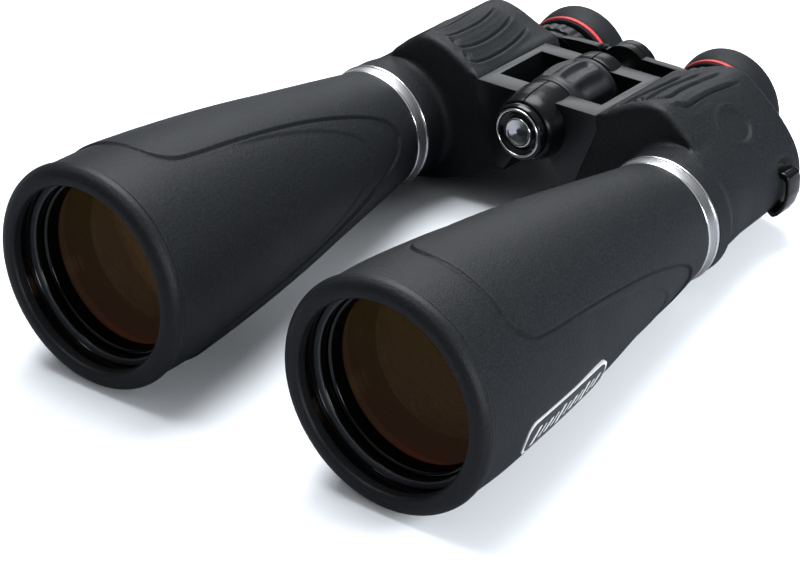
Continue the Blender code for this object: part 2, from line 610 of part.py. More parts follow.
def make_name_plate():
    """A thin framed plate that lies on the outer side of the right barrel."""
    low, high = math.radians(-31), math.radians(-8.5)
    stations = (24, 34, 44, 54, 64, 74, 84)
    steps = 6
    rings = []
    for lift, order in ((1.2, stations), (0.3, stations[::-1])):
        for station in order:
            radius = rubber_radius(station) + lift
            angles = [low + (high - low) * i / steps for i in range(steps + 1)]
            rings.append([(radius * math.cos(a), station, radius * math.sin(a)) for a in angles])
    bm = bmesh.new()
    layers = [[bm.verts.new(Vector(point) * MM) for point in ring] for ring in rings]
    for near, far in zip(layers, layers[1:] + layers[:1]):
        for i in range(steps):
            bm.faces.new((near[i], near[i + 1], far[i + 1], far[i]))
    close_openings(bm)
    for end in (0, steps):
        rows = len(stations)
        for row in range(rows - 1):
            quad = (layers[row], layers[row + 1], layers[-row - 2], layers[-row - 1])
            corners = [layer[end] for layer in quad]
            if bm.faces.get(corners) is None and any(e.is_boundary for v in corners for e in v.link_edges):
                bm.faces.new(corners)
    return add_object("name_plate", finish_mesh("name_plate", bm), BLACK_GLOSS, (BARREL_X, 0.0, 0.0))


# ---------------------------------------------------------------- assembly

def build():
    """Builds the right half in place, hangs the left half on the hinge, then adds the centre line."""
    left_pivot = make_pivot("left_half_axis", 0.0, HINGE_HEIGHT)
    for side, sign in (("right", 1), ("left", -1)):
        before = set(PARTS.objects)
        make_barrel(side, sign * BARREL_X)
        make_objective(side, sign * BARREL_X)
        make_housing_armour(side, sign)
        make_housing(side, sign)
        make_rear_cover(side, sign)
        make_prisms(side, sign)
        make_strap_lug(side, sign)
        make_guide(side, sign)
        if sign < 0:
            for piece in set(PARTS.objects) - before:
                attach(piece, left_pivot)
            for tool in CUTTERS.objects:
                if tool.name.endswith("_left") and tool.parent is None:
                    attach(tool, left_pivot)

    make_hinge_cores()
    make_tripod_cap(make_pivot("tripod_cap_axis", 0.0, HINGE_HEIGHT))
    make_focus_wheel(make_pivot("focus_wheel_axis", 0.0, HINGE_HEIGHT))
    fold_pivot = make_pivot("bridge_fold_axis", 0.0, HINGE_HEIGHT)
    make_bridge(make_pivot("bridge_axis", 0.0, HINGE_HEIGHT), fold_pivot)
    make_name_plate()

    for side, sign in (("right", 1), ("left", -1)):
        pivot = make_pivot("eyepiece_axis_" + side, sign * EYEPIECE_X, EYEPIECE_HEIGHT)
        for piece in (*make_ocular(side, sign), *make_eyecup(side, sign)):
            attach(piece, pivot)
    dioptre = ((OCULAR_RADIUS + 0.8, 254.9), (20.2, 254.9), (20.8, 255.6), (20.8, 260.2), (20.2, 260.8),
               (OCULAR_RADIUS + 0.8, 260.8))
    eye_ring("dioptre_ring", dioptre, RUBBER, 1)
    eye_ring("collar_ring", dioptre, RUBBER, -1)


build()
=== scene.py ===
"""Looks of the astronomy binoculars: rubber armour, castings, glass and bright rings over the CAD frame.

Shapes are worked out in millimetres as (x, station, height): x across, station behind the plane of the
front openings, height above the axes of the two objective barrels. world() turns them into the
frame's metres. A turned shape is an outline of (radius, station) points.
"""
import math

import bmesh
import bpy
import numpy as np
from mathutils import Matrix, Vector

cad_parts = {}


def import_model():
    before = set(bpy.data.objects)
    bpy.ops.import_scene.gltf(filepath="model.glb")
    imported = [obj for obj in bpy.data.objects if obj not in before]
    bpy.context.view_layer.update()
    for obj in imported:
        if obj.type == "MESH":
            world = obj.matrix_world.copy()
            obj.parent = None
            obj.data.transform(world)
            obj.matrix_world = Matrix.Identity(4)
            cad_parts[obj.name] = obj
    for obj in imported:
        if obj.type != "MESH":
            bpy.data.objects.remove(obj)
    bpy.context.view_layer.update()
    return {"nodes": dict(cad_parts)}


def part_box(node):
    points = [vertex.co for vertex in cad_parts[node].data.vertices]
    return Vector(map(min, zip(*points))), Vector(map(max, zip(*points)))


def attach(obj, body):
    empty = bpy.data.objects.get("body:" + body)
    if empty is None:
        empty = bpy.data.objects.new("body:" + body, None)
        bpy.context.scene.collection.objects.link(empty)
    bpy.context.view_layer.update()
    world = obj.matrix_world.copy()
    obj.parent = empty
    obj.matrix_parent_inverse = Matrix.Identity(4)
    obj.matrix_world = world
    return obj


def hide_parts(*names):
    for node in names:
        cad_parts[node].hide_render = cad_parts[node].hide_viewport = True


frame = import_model()

MM = 0.001
SIDES = (("right", 1), ("left", -1))


def middle(node):
    low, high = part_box(node)
    return (low + high) / 2 / MM


# ======== places taken from the CAD frame
RIM_LIP = 2.0
RIM_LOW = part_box("objective_rim_right")[0]
BARREL_X = middle("objective_rim_right").x
AXIS_HEIGHT = middle("objective_rim_right").z
STATION_ZERO = RIM_LOW.y / MM + RIM_LIP
EYE_X = middle("eyecup_right").x
EYE_HEIGHT = middle("eyecup_right").z - AXIS_HEIGHT
HINGE_HEIGHT = middle("focus_wheel_grip").z - AXIS_HEIGHT


def world(points):
    """The frame's metres for (x, station, height) points in millimetres."""
    return (np.asarray(points, float) + (0.0, STATION_ZERO, AXIS_HEIGHT)) * MM


# ======== mesh helpers

def new_object(name, mesh, material):
    piece = bpy.data.objects.new(name, mesh)
    bpy.context.scene.collection.objects.link(piece)
    mesh.materials.append(material)
    return piece


def place(piece, body, stands_for=()):
    """Puts a piece on its body and hides the CAD nodes it stands for."""
    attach(piece, body)
    if stands_for:
        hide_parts(*stands_for)


def grid_mesh(name, grid, wrap_rows, wrap_columns, keep=None, flip=False):
    """Quads over a rows x columns grid of (x, station, height) points; keep says which cells stay."""
    rows, columns = grid.shape[:2]
    row_cells = rows if wrap_rows else rows - 1
    column_cells = columns if wrap_columns else columns - 1
    i, j = np.meshgrid(np.arange(row_cells), np.arange(column_cells), indexing="ij")
    if keep is not None:
        i, j = i[keep], j[keep]
    near, far = i % rows * columns, (i + 1) % rows * columns
    left, right = j % columns, (j + 1) % columns
    faces = np.stack([near + left, near + right, far + right, far + left], -1).reshape(-1, 4)
    if flip:
        faces = faces[:, ::-1]
    mesh = bpy.data.meshes.new(name)
    mesh.from_pydata(world(grid.reshape(-1, 3)).tolist(), [], faces.tolist())
    mesh.validate()
    return mesh


def close_up(mesh, weld=0.0):
    """Welds doubled points, fills the openings that are left and turns the faces outwards."""
    bm = bmesh.new()
    bm.from_mesh(mesh)
    if weld:
        bmesh.ops.remove_doubles(bm, verts=bm.verts, dist=weld)
    open_edges = [edge for edge in bm.edges if edge.is_boundary]
    if open_edges:
        bmesh.ops.holes_fill(bm, edges=open_edges)
    bmesh.ops.recalc_face_normals(bm, faces=bm.faces)
    bm.to_mesh(mesh)
    bm.free()
    return mesh


def tidy_mesh(mesh, sharp_angle=None, weld=1e-7):
    """Welds doubled points, turns faces outwards and shades the mesh smooth."""
    bm = bmesh.new()
    bm.from_mesh(mesh)
    bmesh.ops.remove_doubles(bm, verts=bm.verts, dist=weld)
    bmesh.ops.dissolve_degenerate(bm, dist=weld, edges=bm.edges)
    loose = [v for v in bm.verts if not v.link_faces]
    bmesh.ops.delete(bm, geom=loose, context="VERTS")
    bmesh.ops.recalc_face_normals(bm, faces=bm.faces)
    bm.to_mesh(mesh)
    bm.free()
    mesh.shade_smooth()
    if sharp_angle:
        mesh.set_sharp_from_angle(angle=math.radians(sharp_angle))
    return mesh


def fillet(outline, radius, steps=4, closed=True):
    """Rounds the corners of a 2D outline; a corner keeps its place where the outline is open."""
    points = [Vector(point) for point in outline]
    count = len(points)
    result = []
    for i, corner in enumerate(points):
        if not closed and i in (0, count - 1):
            result.append(tuple(corner))
            continue
        before, after = points[i - 1], points[(i + 1) % count]
        back, ahead = before - corner, after - corner
        reach = min(radius, 0.42 * back.length, 0.42 * ahead.length)
        straight = back.normalized().dot(ahead.normalized()) < -0.999
        if straight or reach < 0.02:
            result.append(tuple(corner))
            continue
        start, end = corner + back.normalized() * reach, corner + ahead.normalized() * reach
        for t in np.linspace(0, 1, steps + 1):
            result.append(tuple(start * (1 - t) ** 2 + corner * (2 * t * (1 - t)) + end * t ** 2))
    return result


def turned_grid(outline, angles):
    """The radius, station and angle of each point of an outline at each of the given angles."""
    outline = np.array(outline, float)
    radius = np.repeat(outline[:, :1], len(angles), 1)
    station = np.repeat(outline[:, 1:], len(angles), 1)
    turn = np.repeat(angles[None, :], len(outline), 0)
    return radius, station, turn


def around(x, height, radius, station, turn):
    """Points at a radius and angle about an axis parallel to Y."""
    return np.stack([x + radius * np.cos(turn), station, height + radius * np.sin(turn)], -1)


def lathe(name, outline, material, body, slot, stands_for=(), x=0.0, height=HINGE_HEIGHT, rounding=0.35,
          segments=128, closed=True, wave=None, sharp_angle=None, steps=3):
    """A piece turned about an axis parallel to Y.

    wave(radius, station, angle) may change the radius round the turn, for flutes and ribs.
    """
    if rounding:
        outline = fillet(outline, rounding, steps, closed)
    angles = np.linspace(0, 2 * math.pi, segments, endpoint=False)
    radius, station, turn = turned_grid(outline, angles)
    if wave:
        radius = wave(radius, station, turn)
    grid = around(x, height, radius, station, turn)
    mesh = tidy_mesh(grid_mesh(name, grid, closed, True), sharp_angle)
    piece = new_object(name, mesh, material)
    place(piece, body, stands_for)
    return piece


def turned_mesh(name, outline, x, height, segments, low=0.0, high=2 * math.pi):
    """A closed turned solid, or a sector of one from low to high, for use in Booleans."""
    full = high - low > 6.28
    angles = np.linspace(low, high, segments if full else segments + 1, endpoint=not full)
    grid = around(x, height, *turned_grid(outline, angles))
    return close_up(grid_mesh(name, grid, True, full), weld=1e-6)


def rod_mesh(radius, start, end, x, height, segments=64):
    """A closed cylinder from one station to another, for use in Booleans."""
    outline = ((0, start), (radius, start), (radius, end), (0, end))
    return turned_mesh("rod", outline, x, height, segments)


def slab_mesh(name, outline, start, end):
    """A plate whose (x, height) outline runs from one station to another."""
    grid = np.array([[(x, station, z) for x, z in outline] for station in (start, end)], float)
    return close_up(grid_mesh(name, grid, False, True))


def boolean(piece, tool_mesh, operation):
    """Applies one exact Boolean with a throw-away tool."""
    tool = bpy.data.objects.new("tool", tool_mesh)
    bpy.context.scene.collection.objects.link(tool)
    step = piece.modifiers.new("boolean", "BOOLEAN")
    step.operation, step.solver, step.object = operation, "EXACT", tool
    step.material_mode = "TRANSFER"
    bake(piece)
    bpy.data.objects.remove(tool)


def bake(piece):
    """Applies every modifier of a piece to its mesh."""
    bpy.context.view_layer.update()
    evaluated = piece.evaluated_get(bpy.context.evaluated_depsgraph_get())
    mesh = bpy.data.meshes.new_from_object(evaluated)
    piece.modifiers.clear()
    piece.data = mesh


def thicken(piece, thickness):
    """Turns an open skin into a shell that grows inwards."""
    shell = piece.modifiers.new("shell", "SOLIDIFY")
    shell.thickness = thickness * MM
    shell.offset = -1.0
    bake(piece)


def soften_edges(piece, width, segments=3, angle=32):
    """Rounds the sharp edges of a plate-like piece."""
    bm = bmesh.new()
    bm.from_mesh(piece.data)
    bmesh.ops.remove_doubles(bm, verts=bm.verts, dist=2e-6)
    bmesh.ops.dissolve_limit(bm, angle_limit=math.radians(1.5), verts=bm.verts, edges=bm.edges)
    bm.to_mesh(piece.data)
    bm.free()
    bevel = piece.modifiers.new("bevel", "BEVEL")
    bevel.width = width * MM
    bevel.segments = segments
    bevel.limit_method = "ANGLE"
    bevel.angle_limit = math.radians(angle)
    bake(piece)
    piece.data.shade_smooth()
    piece.data.set_sharp_from_angle(angle=math.radians(35))


def path_distance(points, path):
    """Distance from each 2D point to a polyline, and the side it lies on as 1 or -1."""
    best = np.full(len(points), 1e9)
    side = np.ones(len(points))
    for a, b in zip(path, path[1:]):
        along = b - a
        share = np.clip(((points - a) @ along) / (along @ along), 0, 1)
        gap = points - (a + share[:, None] * along)
        distance = np.sqrt((gap ** 2).sum(1))
        closer = distance < best
        best[closer] = distance[closer]
        cross = along[0] * gap[:, 1] - along[1] * gap[:, 0]
        side[closer] = np.where(cross[closer] >= 0, 1, -1)
    return best, side


def spline(points, samples, closed=False):
    """A centripetal Catmull-Rom curve through the given points, evenly sampled along its control points."""
    points = np.asarray(points, float)
    count = len(points)
    spans = count if closed else count - 1
    result = []
    for span in range(spans):
        if closed:
            p0, p1, p2, p3 = (points[(span + k) % count] for k in (-1, 0, 1, 2))
        else:
            p1, p2 = points[span], points[span + 1]
            p0 = points[span - 1] if span else 2 * p1 - p2
            p3 = points[span + 2] if span + 2 < count else 2 * p2 - p1
        t1 = np.linalg.norm(p1 - p0) ** 0.5
        t2 = t1 + np.linalg.norm(p2 - p1) ** 0.5
        t3 = t2 + np.linalg.norm(p3 - p2) ** 0.5
        t = np.linspace(t1, t2, samples, endpoint=False)[:, None]

        def blend(a, b, start, end):
            return (end - t) / (end - start) * a + (t - start) / (end - start) * b

        a1, a2, a3 = blend(p0, p1, 0, t1), blend(p1, p2, t1, t2), blend(p2, p3, t2, t3)
        b1, b2 = blend(a1, a2, 0, t2), blend(a2, a3, t1, t3)
        result.append(blend(b1, b2, t1, t2))
    if not closed:
        result.append(points[-1:])
    return np.concatenate(result)


def ease(value):
    """Rises smoothly from 0 to 1 as the value does."""
    value = np.clip(value, 0.0, 1.0)
    return value * value * (3 - 2 * value)


# ======== materials

def principled(name, color, roughness, metallic=0.0, **inputs):
    material = bpy.data.materials.new(name)
    material.use_nodes = True
    shader = material.node_tree.nodes["Principled BSDF"]
    shader.inputs["Base Color"].default_value = (*color, 1.0)
    shader.inputs["Roughness"].default_value = roughness
    shader.inputs["Metallic"].default_value = metallic
    for key, value in inputs.items():
        shader.inputs[key.replace("_", " ")].default_value = value
    return material


def add_node(material, kind, **settings):
    """A shader node of a material or world, with its inputs set; _ in a name stands for a space."""
    node = material.node_tree.nodes.new("ShaderNode" + kind)
    for key, value in settings.items():
        node.inputs[key.replace("_", " ")].default_value = value
    return node


def wire(material, source, target, entry):
    """Joins a socket, or else a node's first output, to an input of the target node."""
    socket = source.outputs[0] if hasattr(source, "outputs") else source
    material.node_tree.links.new(socket, target.inputs[entry])


def noise(material, scale, detail=3.0, roughness=0.6, stretch=None):
    """Noise in object space, so its grain keeps its real size on every piece."""
    where = add_node(material, "TexCoord").outputs["Object"]
    texture = add_node(material, "TexNoise", Scale=scale, Detail=detail, Roughness=roughness)
    if stretch:
        mapping = add_node(material, "Mapping", Scale=stretch)
        wire(material, where, mapping, "Vector")
        where = mapping
    wire(material, where, texture, "Vector")
    return texture.outputs["Fac"]


def ramp(material, source, stops):
    """Maps a value through colour stops given as (position, (r, g, b))."""
    node = add_node(material, "ValToRGB")
    elements = node.color_ramp.elements
    while len(elements) < len(stops):
        elements.new(0.5)
    for element, (position, color) in zip(elements, stops):
        element.position = position
        element.color = (*color, 1.0)
    wire(material, source, node, "Fac")
    return node.outputs["Color"]


def grain(material, scale, strength, depth, speckle, rough_low, rough_high):
    """Fine moulded grain as bump and speckled colour, with slow changes of gloss over it."""
    shader = material.node_tree.nodes["Principled BSDF"]
    fine = noise(material, scale)
    slow = noise(material, 28.0, detail=4.0)
    bump = add_node(material, "Bump", Strength=strength, Distance=depth)
    wire(material, fine, bump, "Height")
    wire(material, bump, shader, "Normal")
    wire(material, ramp(material, fine, speckle), shader, "Base Color")
    spread = add_node(material, "MapRange", From_Min=0.3, From_Max=0.7, To_Min=rough_low, To_Max=rough_high)
    wire(material, slow, spread, "Value")
    wire(material, spread, shader, "Roughness")
    return material


def grey(value, blue=0.0):
    return (value, value + blue * 0.4, value + blue)


def make_rubber(name, level, rough, scale=1500.0, strength=0.35, sheen=0.3, speckle=None):
    """Black rubber or paint; level is its own brightness and sheen its surface reflection."""
    material = principled(name, grey(level), rough, Specular_IOR_Level=sheen)
    if speckle is None:
        speckle = ((0.42, grey(level * 0.75, level * 0.2)), (0.72, grey(level * 1.6, level * 0.35)))
    return grain(material, scale, strength, 0.00025, speckle, rough * 0.95, rough * 1.05)


def make_metal(name, level, rough, metallic=1.0, scratch=0.12, color=None):
    """Turned or ground metal: fine rings of uneven gloss round the axis."""
    material = principled(name, color or grey(level), rough, metallic)
    shader = material.node_tree.nodes["Principled BSDF"]
    fine = noise(material, 90.0, detail=6.0, roughness=0.75, stretch=(1.0, 26.0, 1.0))
    spread = add_node(material, "MapRange", To_Min=max(rough - scratch, 0.03), To_Max=rough + scratch)
    wire(material, fine, spread, "Value")
    wire(material, spread, shader, "Roughness")
    bump = add_node(material, "Bump", Strength=0.015, Distance=0.0002)
    wire(material, fine, bump, "Height")
    wire(material, bump, shader, "Normal")
    return material


def make_lens(name, straight, mirror, painted_glow=None, painted_glow_share=0.0):
    """Coated glass: light passes straight through with a tint, and a coloured reflection grows at the edge.

    The optional colour stops, from low to high, give a painted glow: an emission that stands in for the
    brown reflection of a deep coated objective against its dark tube, mixed in at the given share.
    """
    material = bpy.data.materials.new(name)
    material.use_nodes = True
    tree = material.node_tree
    tree.nodes.clear()
    output = add_node(material, "OutputMaterial")
    body = add_node(material, "BsdfTransparent", Color=(*straight, 1.0))
    if painted_glow:
        split = add_node(material, "SeparateXYZ")
        wire(material, add_node(material, "TexCoord"), split, "Vector")
        # painted glow: an emission standing in for the brown reflection seen in the objective
        glow = add_node(material, "Emission", Strength=1.0)
        wire(material, ramp(material, split.outputs["Z"], painted_glow), glow, "Color")
        painted_glow_mix = add_node(material, "MixShader", Fac=painted_glow_share)
        wire(material, body, painted_glow_mix, 1)
        wire(material, glow, painted_glow_mix, 2)
        body = painted_glow_mix
    mix = add_node(material, "MixShader")
    gloss = add_node(material, "BsdfGlossy", Roughness=0.02, Color=(*mirror, 1.0))
    facing = add_node(material, "Fresnel", IOR=1.30)
    bump = add_node(material, "Bump", Strength=0.02, Distance=0.0001)
    wire(material, noise(material, 60.0), bump, "Height")
    wire(material, bump, gloss, "Normal")
    wire(material, facing, mix, "Fac")
    wire(material, body, mix, 1)
    wire(material, gloss, mix, 2)
    wire(material, mix, output, "Surface")
    return material


ARMOUR = make_rubber("armour_rubber", 0.0085, 0.50, scale=1200.0, strength=0.9, sheen=0.20)
RIM = make_rubber("rim_rubber", 0.0085, 0.46, scale=1300.0, strength=0.5, sheen=0.22)
EYECUP = make_rubber("eyecup_rubber", 0.0085, 0.55, scale=1900.0, strength=0.2, sheen=0.18)
GRIP = make_rubber("grip_rubber", 0.006, 0.40, scale=1900.0, strength=0.2, sheen=0.35)
FRAME_PAINT = make_rubber("frame_paint", 0.005, 0.30, scale=2600.0, strength=0.12, sheen=0.40)
# painted shade: a dull near-black copy of the frame paint for the walls of the frame's window, standing in
# for the shade inside it
PAINTED_SHADE_WELL = make_rubber("window_wall_painted_shade", 0.001, 0.60, scale=2600.0, strength=0.12, sheen=0.05)
GLOSS = make_rubber("gloss_black", 0.002, 0.15, scale=700.0, strength=0.04, sheen=0.40)
SATIN = make_rubber("satin_black", 0.0025, 0.27, scale=1500.0, strength=0.06, sheen=0.24)
HOOD = make_rubber("hood_black", 0.001, 0.15, scale=900.0, strength=0.08, sheen=0.35)
# painted light: the front-facing step ring is grey, lighter than the black hood, standing in for the light
# it catches
PAINTED_LIT_STEP = make_rubber("baffle_step_painted_light", 0.045, 0.38, scale=1500.0, strength=0.10, sheen=0.40)
# painted light: the ribbed bore is grey, far lighter than the black hood, so its ribs seen through the
# objective stand in for their highlights
PAINTED_LIT_BAFFLE = make_rubber("tube_baffle_painted_light", 0.26, 0.4, scale=1500.0, strength=0.10, sheen=0.6)
BRIGHT = make_metal("polished_ring", 0.50, 0.40, scratch=0.04)
CHROME = make_metal("chrome_trim", 0.80, 0.20, scratch=0.04)
STEEL = make_metal("ground_steel", 0.42, 0.26)
BLACK_METAL = make_metal("black_anodised", 0.020, 0.32, metallic=0.7)
BRASS = make_metal("brass", 0.5, 0.28, color=(0.62, 0.42, 0.16))
SILVER = make_metal("silver_print", 0.80, 0.38, metallic=0.35, scratch=0.05)
RED = make_rubber("red_band", 0.02, 0.42, scale=1500.0, strength=0.10,
                  speckle=((0.4, (0.36, 0.035, 0.04)), (0.7, (0.50, 0.06, 0.06))))
# painted glow of the objective, bottom to top: emitted brown standing in for its reflection against the dark
# tube
PAINTED_LENS_GLOW = ((0.0, (0.034, 0.010, 0.006)), (0.14, (0.023, 0.0125, 0.0075)), (0.6, (0.023, 0.0135, 0.007)),
        (1.0, (0.021, 0.0145, 0.002)))
OBJECTIVE_GLASS_PAINTED_GLOW = make_lens("objective_coating_painted_glow", (0.90, 0.80, 0.68), (0.45, 0.30, 0.16), PAINTED_LENS_GLOW, 0.66)
CLEAR_GLASS = make_lens("clear_glass", (0.96, 0.94, 0.90), (0.3, 0.2, 0.1))
EYE_GLASS = make_lens("eyepiece_coating", (0.70, 0.78, 0.72), (0.5, 0.75, 0.6))
PRISM_GLASS = make_lens("prism_glass", (0.86, 0.92, 0.90), (0.9, 0.95, 0.95))


# ======== objective end and barrel

BARREL_PROFILE = ((4.15, 45.4), (22, 45.2), (45, 43.4), (70, 40.7), (95, 37.3), (120, 33.2), (145, 29.2),
                  (167.9, 25.4))
BARREL_CURVE = spline(BARREL_PROFILE, 12)
SLEEVE_THICKNESS = 2.2
SLEEVE_BORE = 22.6
TONGUE_CENTRE = 20.0
PANEL_EDGE = ((90, 26.2), (78, 26.2), (67, 26.5), (58, 28.4), (51, 34), (48.6, 44), (47.2, 62), (44.6, 88),
              (40, 112), (33, 130), (24, 144), (13, 152.5), (0, 155.5))
INNER_EDGE = ((47.0, 56), (44, 68), (39.5, 90), (32.5, 109), (23, 123), (11.5, 132), (0, 135))


def skin_radius(station):
    return np.interp(station, BARREL_CURVE[:, 0], BARREL_CURVE[:, 1])


def panel_height(station, angle, sign):
    """Relief of the barrel's rubber: a front panel with two tongues, stepped down from the rest.

    The edges are (degrees from the tongue's middle, station) points; the inner one fades out forwards.
    """
    turned = np.degrees(angle) + sign * TONGUE_CENTRE
    folded = np.abs((turned + 90) % 180 - 90)
    flat = np.stack([station, np.radians(folded) * skin_radius(station)], -1).reshape(-1, 2)
    relief = np.zeros(len(flat))
    for edge, step, width, crease in ((PANEL_EDGE, 0.85, 0.6, 0.6), (INNER_EDGE, 0.55, 1.4, 0.12)):
        path = spline([(s, math.radians(a) * skin_radius(s)) for a, s in edge], 10)
        distance, side = path_distance(flat, path)
        signed = distance * side
        drop = step * ease((1 - signed / width) / 2) + crease * np.exp(-((signed + 0.3) / 0.42) ** 2)
        if edge is INNER_EDGE:
            near = (flat[:, 0] > path[:, 0].min() - 6) & (flat[:, 0] < path[:, 0].max() + 6)
            drop *= near * ease((flat[:, 0] - edge[0][1]) / 20)
        relief -= drop
    return relief.reshape(station.shape)


def make_barrel_armour(side, sign):
    """The rubber sleeve over the barrel, with its stepped panel lines and tucked ends."""
    columns, rows = 560, 330
    stations = np.concatenate([[4.15, 4.2, 4.4], np.linspace(4.7, 167.4, rows), [167.75, 167.9]])
    angles = np.linspace(-math.pi, math.pi, columns, endpoint=False)
    station, angle = np.meshgrid(stations, angles, indexing="ij")
    radius = skin_radius(station) + panel_height(station, angle, sign)
    for row, tuck in ((0, 1.6), (1, 0.45), (2, 0.12), (-2, 0.15), (-1, 0.7)):
        radius[row] -= tuck
    inner = [(max(r - SLEEVE_THICKNESS, SLEEVE_BORE), s) for s, r in BARREL_PROFILE[::-1]]
    inner_radius, inner_station, _ = turned_grid(inner, angles)
    radius = np.concatenate([radius, inner_radius])
    station = np.concatenate([station, inner_station])
    grid = around(sign * BARREL_X, 0.0, radius, station, angles)
    mesh = grid_mesh("barrel_sleeve_" + side, grid, True, True, flip=True)
    mesh.shade_smooth()
    piece = new_object("barrel_sleeve_" + side, mesh, ARMOUR)
    place(piece, side + "_half", ["barrel_armour_" + side])


def thread(start, end, radius, depth, pitch):
    """Saw-tooth rings between two stations, from front to back."""
    count = int(round((end - start) / pitch))
    points = []
    for i in range(count):
        station = start + i * pitch
        points += [(radius, station), (radius - depth, station + 0.5 * pitch)]
    return points + [(radius, end)]


def make_objective(side, sign):
    """Rim, hood and cell interior, retaining ring with its thread, and the coated doublet."""
    body = side + "_half"
    spot = dict(x=sign * BARREL_X, height=0.0)
    rim = ((37.2, 3.4), (37.2, -0.9), (38.3, -2.0), (41.2, -2.0), (43.6, -0.8), (45.0, 1.0), (45.4, 2.5),
           (45.4, 3.4))
    lathe("bumper_ring_" + side, rim, RIM, body, "rim_rubber", ["objective_rim_" + side], rounding=1.6,
          steps=6, **spot)

    cell = ((38.7, 3.9), (38.7, 8.6), (38.3, 9.3), (36.0, 9.5), (35.8, 9.9), (35.7, 12.4), (36.3, 12.9),
            (36.3, 20.3), (37.3, 20.3), (37.3, 34.0), (37.6, 34.0), (39.4, 25.0), (39.6, 3.9))
    lathe("hood_cell_" + side, cell, HOOD, body, "black_anodised", ["lens_cell_" + side], rounding=0.15,
          steps=2, **spot)
    step = ((38.5, 9.0), (38.5, 9.45), (36.0, 9.45), (35.8, 9.2), (36.0, 8.8), (36.5, 8.7), (38.1, 8.7))
    # the step ring takes the grey painted-light finish
    lathe("baffle_step_" + side, step, PAINTED_LIT_STEP, body, "black_anodised", rounding=0.25, **spot)

    spacer = ridges(20.6, 33.8, lambda station: 36.9, 0.55) + [(37.3, 33.9), (37.3, 20.4), (36.4, 20.4)]
    # the spacer's ribs take the grey painted-light baffle finish
    lathe("lens_spacer_" + side, spacer, PAINTED_LIT_BAFFLE, body, "black_anodised", rounding=0.0, sharp_angle=30,
          **spot)
    ring = [(33.9, 19.4)] + thread(13.6, 19.0, 34.3, 0.3, 0.6)[::-1]
    ring += [(34.8, 13.1), (36.1, 12.9), (36.1, 19.4)]
    lathe("retaining_ring_" + side, ring, HOOD, body, "black_anodised", ["lens_retaining_ring_" + side],
          rounding=0.0, **spot)

    edge = 36.1
    shares = np.linspace(0, 1, 14)
    front = [(edge * t, 20.0 - 3.6 * (1 - t ** 2)) for t in shares]
    back = [(edge * t, 24.9 + 2.6 * (1 - t ** 2)) for t in shares[::-1]]
    glass = dict(rounding=0.0, closed=False, **spot)
    crown = lathe("coated_crown_" + side, front + back, OBJECTIVE_GLASS_PAINTED_GLOW, body, "coated_objective_glass",
                  ["crown_lens_" + side], **glass)
    crown.data.materials.append(CLEAR_GLASS)
    # the crown's front faces carry the painted glow; its rear faces are plain clear glass
    for polygon in crown.data.polygons:
        polygon.material_index = 1 if polygon.normal.y > 0.2 else 0
    flint = [(r, s + 0.4) for r, s in back[::-1]] + [(edge, 31.6), (0, 31.0)]
    lathe("coated_flint_" + side, flint, CLEAR_GLASS, body, "coated_objective_glass",
          ["flint_lens_" + side], **glass)


def ridges(start, end, radius_at, depth, pitch=1.4):
    """Light-stopping rings cut into a bore, from front to back."""
    points = []
    for station in np.arange(start, end, pitch):
        radius = radius_at(station)
        points += [(radius, station), (radius - depth, station + 0.2), (radius - 0.2, station + 0.75)]
    return points


def make_tube(side, sign):
    """The metal tube, ribbed inside to kill stray light, and the polished ring behind the barrel."""
    body = side + "_half"
    spot = dict(x=sign * BARREL_X, height=0.0)
    outline = [(19.6, 175.2), (21.9, 175.2), (21.9, 165.0)]
    outline += [(skin_radius(s) - 2.9, s) for s in (145, 120, 95, 70, 45, 22, 4.4)]
    outline += [(40.9, 4.4), (39.9, 25.0), (38.2, 34.2)]
    outline += ridges(34.6, 150.0, lambda station: min(skin_radius(station) - 5.2, 37.4), 0.6)
    outline += [(19.6, 160.0)]
    # the tube's inner ribs take the grey painted-light baffle finish
    lathe("ribbed_tube_" + side, outline, PAINTED_LIT_BAFFLE, body, "black_castings", ["barrel_tube_" + side],
          rounding=0.0, sharp_angle=30, **spot)

    band = ((22.5, 168.9), (25.45, 168.9), (25.85, 173.3), (22.5, 173.3))
    lathe("silver_band_" + side, band, BRIGHT, body, "polished_ring", ["trim_ring_" + side], rounding=0.2,
          **spot)
    for name, radius, start, end in (("silver_lip_front_", 25.7, 168.1, 169.2),
                                     ("silver_lip_rear_", 26.4, 173.0, 174.2)):
        lip = ((23.0, start), (radius - 0.35, start), (radius, (start + end) / 2), (radius - 0.1, end),
               (23.0, end))
        lathe(name + side, lip, CHROME, body, "polished_ring", rounding=0.3, **spot)


# ======== prism housing skin

# (x, height) outlines of the box; from point FRAME_CORNER on they run behind the hinge frame
UNDERSIDE = ((50, -23.8), (38, -19.8), (28, -16.8), (20, -12.8), (15, -8), (18.5, 1), (22, 10), (25.5, 19))
FRONT_OUTLINE = (
    (29, 28), (34, 31.3), (39.5, 34.4), (46.5, 37.8), (53.7, 39.6), (59.5, 39), (65.5, 35.4), (72, 30),
    (79, 24), (86, 17.2), (90.8, 10), (92.3, 2), (91.2, -7), (87, -13.3), (80, -19.3), (72, -24.4),
    (62, -26.5), *UNDERSIDE)
REAR_OUTLINE = (
    (29, 28), (34, 29.9), (40.5, 32.4), (48.2, 35.7), (56.6, 37.6), (62.5, 36.6), (68.5, 32.8),
    (75, 27.4), (82, 20.6), (87.6, 13.2), (90.3, 7), (91.1, 1), (90.2, -6), (86, -12.6), (79.5, -18.8),
    (72, -24.5), (62, -26.7), *UNDERSIDE)
FRAME_CORNER = 21
HOUSING_MIDDLE = (58.0, 210.0, 3.0)
NECK_START = 174.7
NECK_END = 182.5
WALL_STATION = 187.0
BOX_START = 206.0
FRAME_REAR = 234.3
SKIN_END = 244.6
REAR_ROUNDING = 3.2
COLLAR_RADIUS = 26.0
EDGE_RADIUS = 3.0
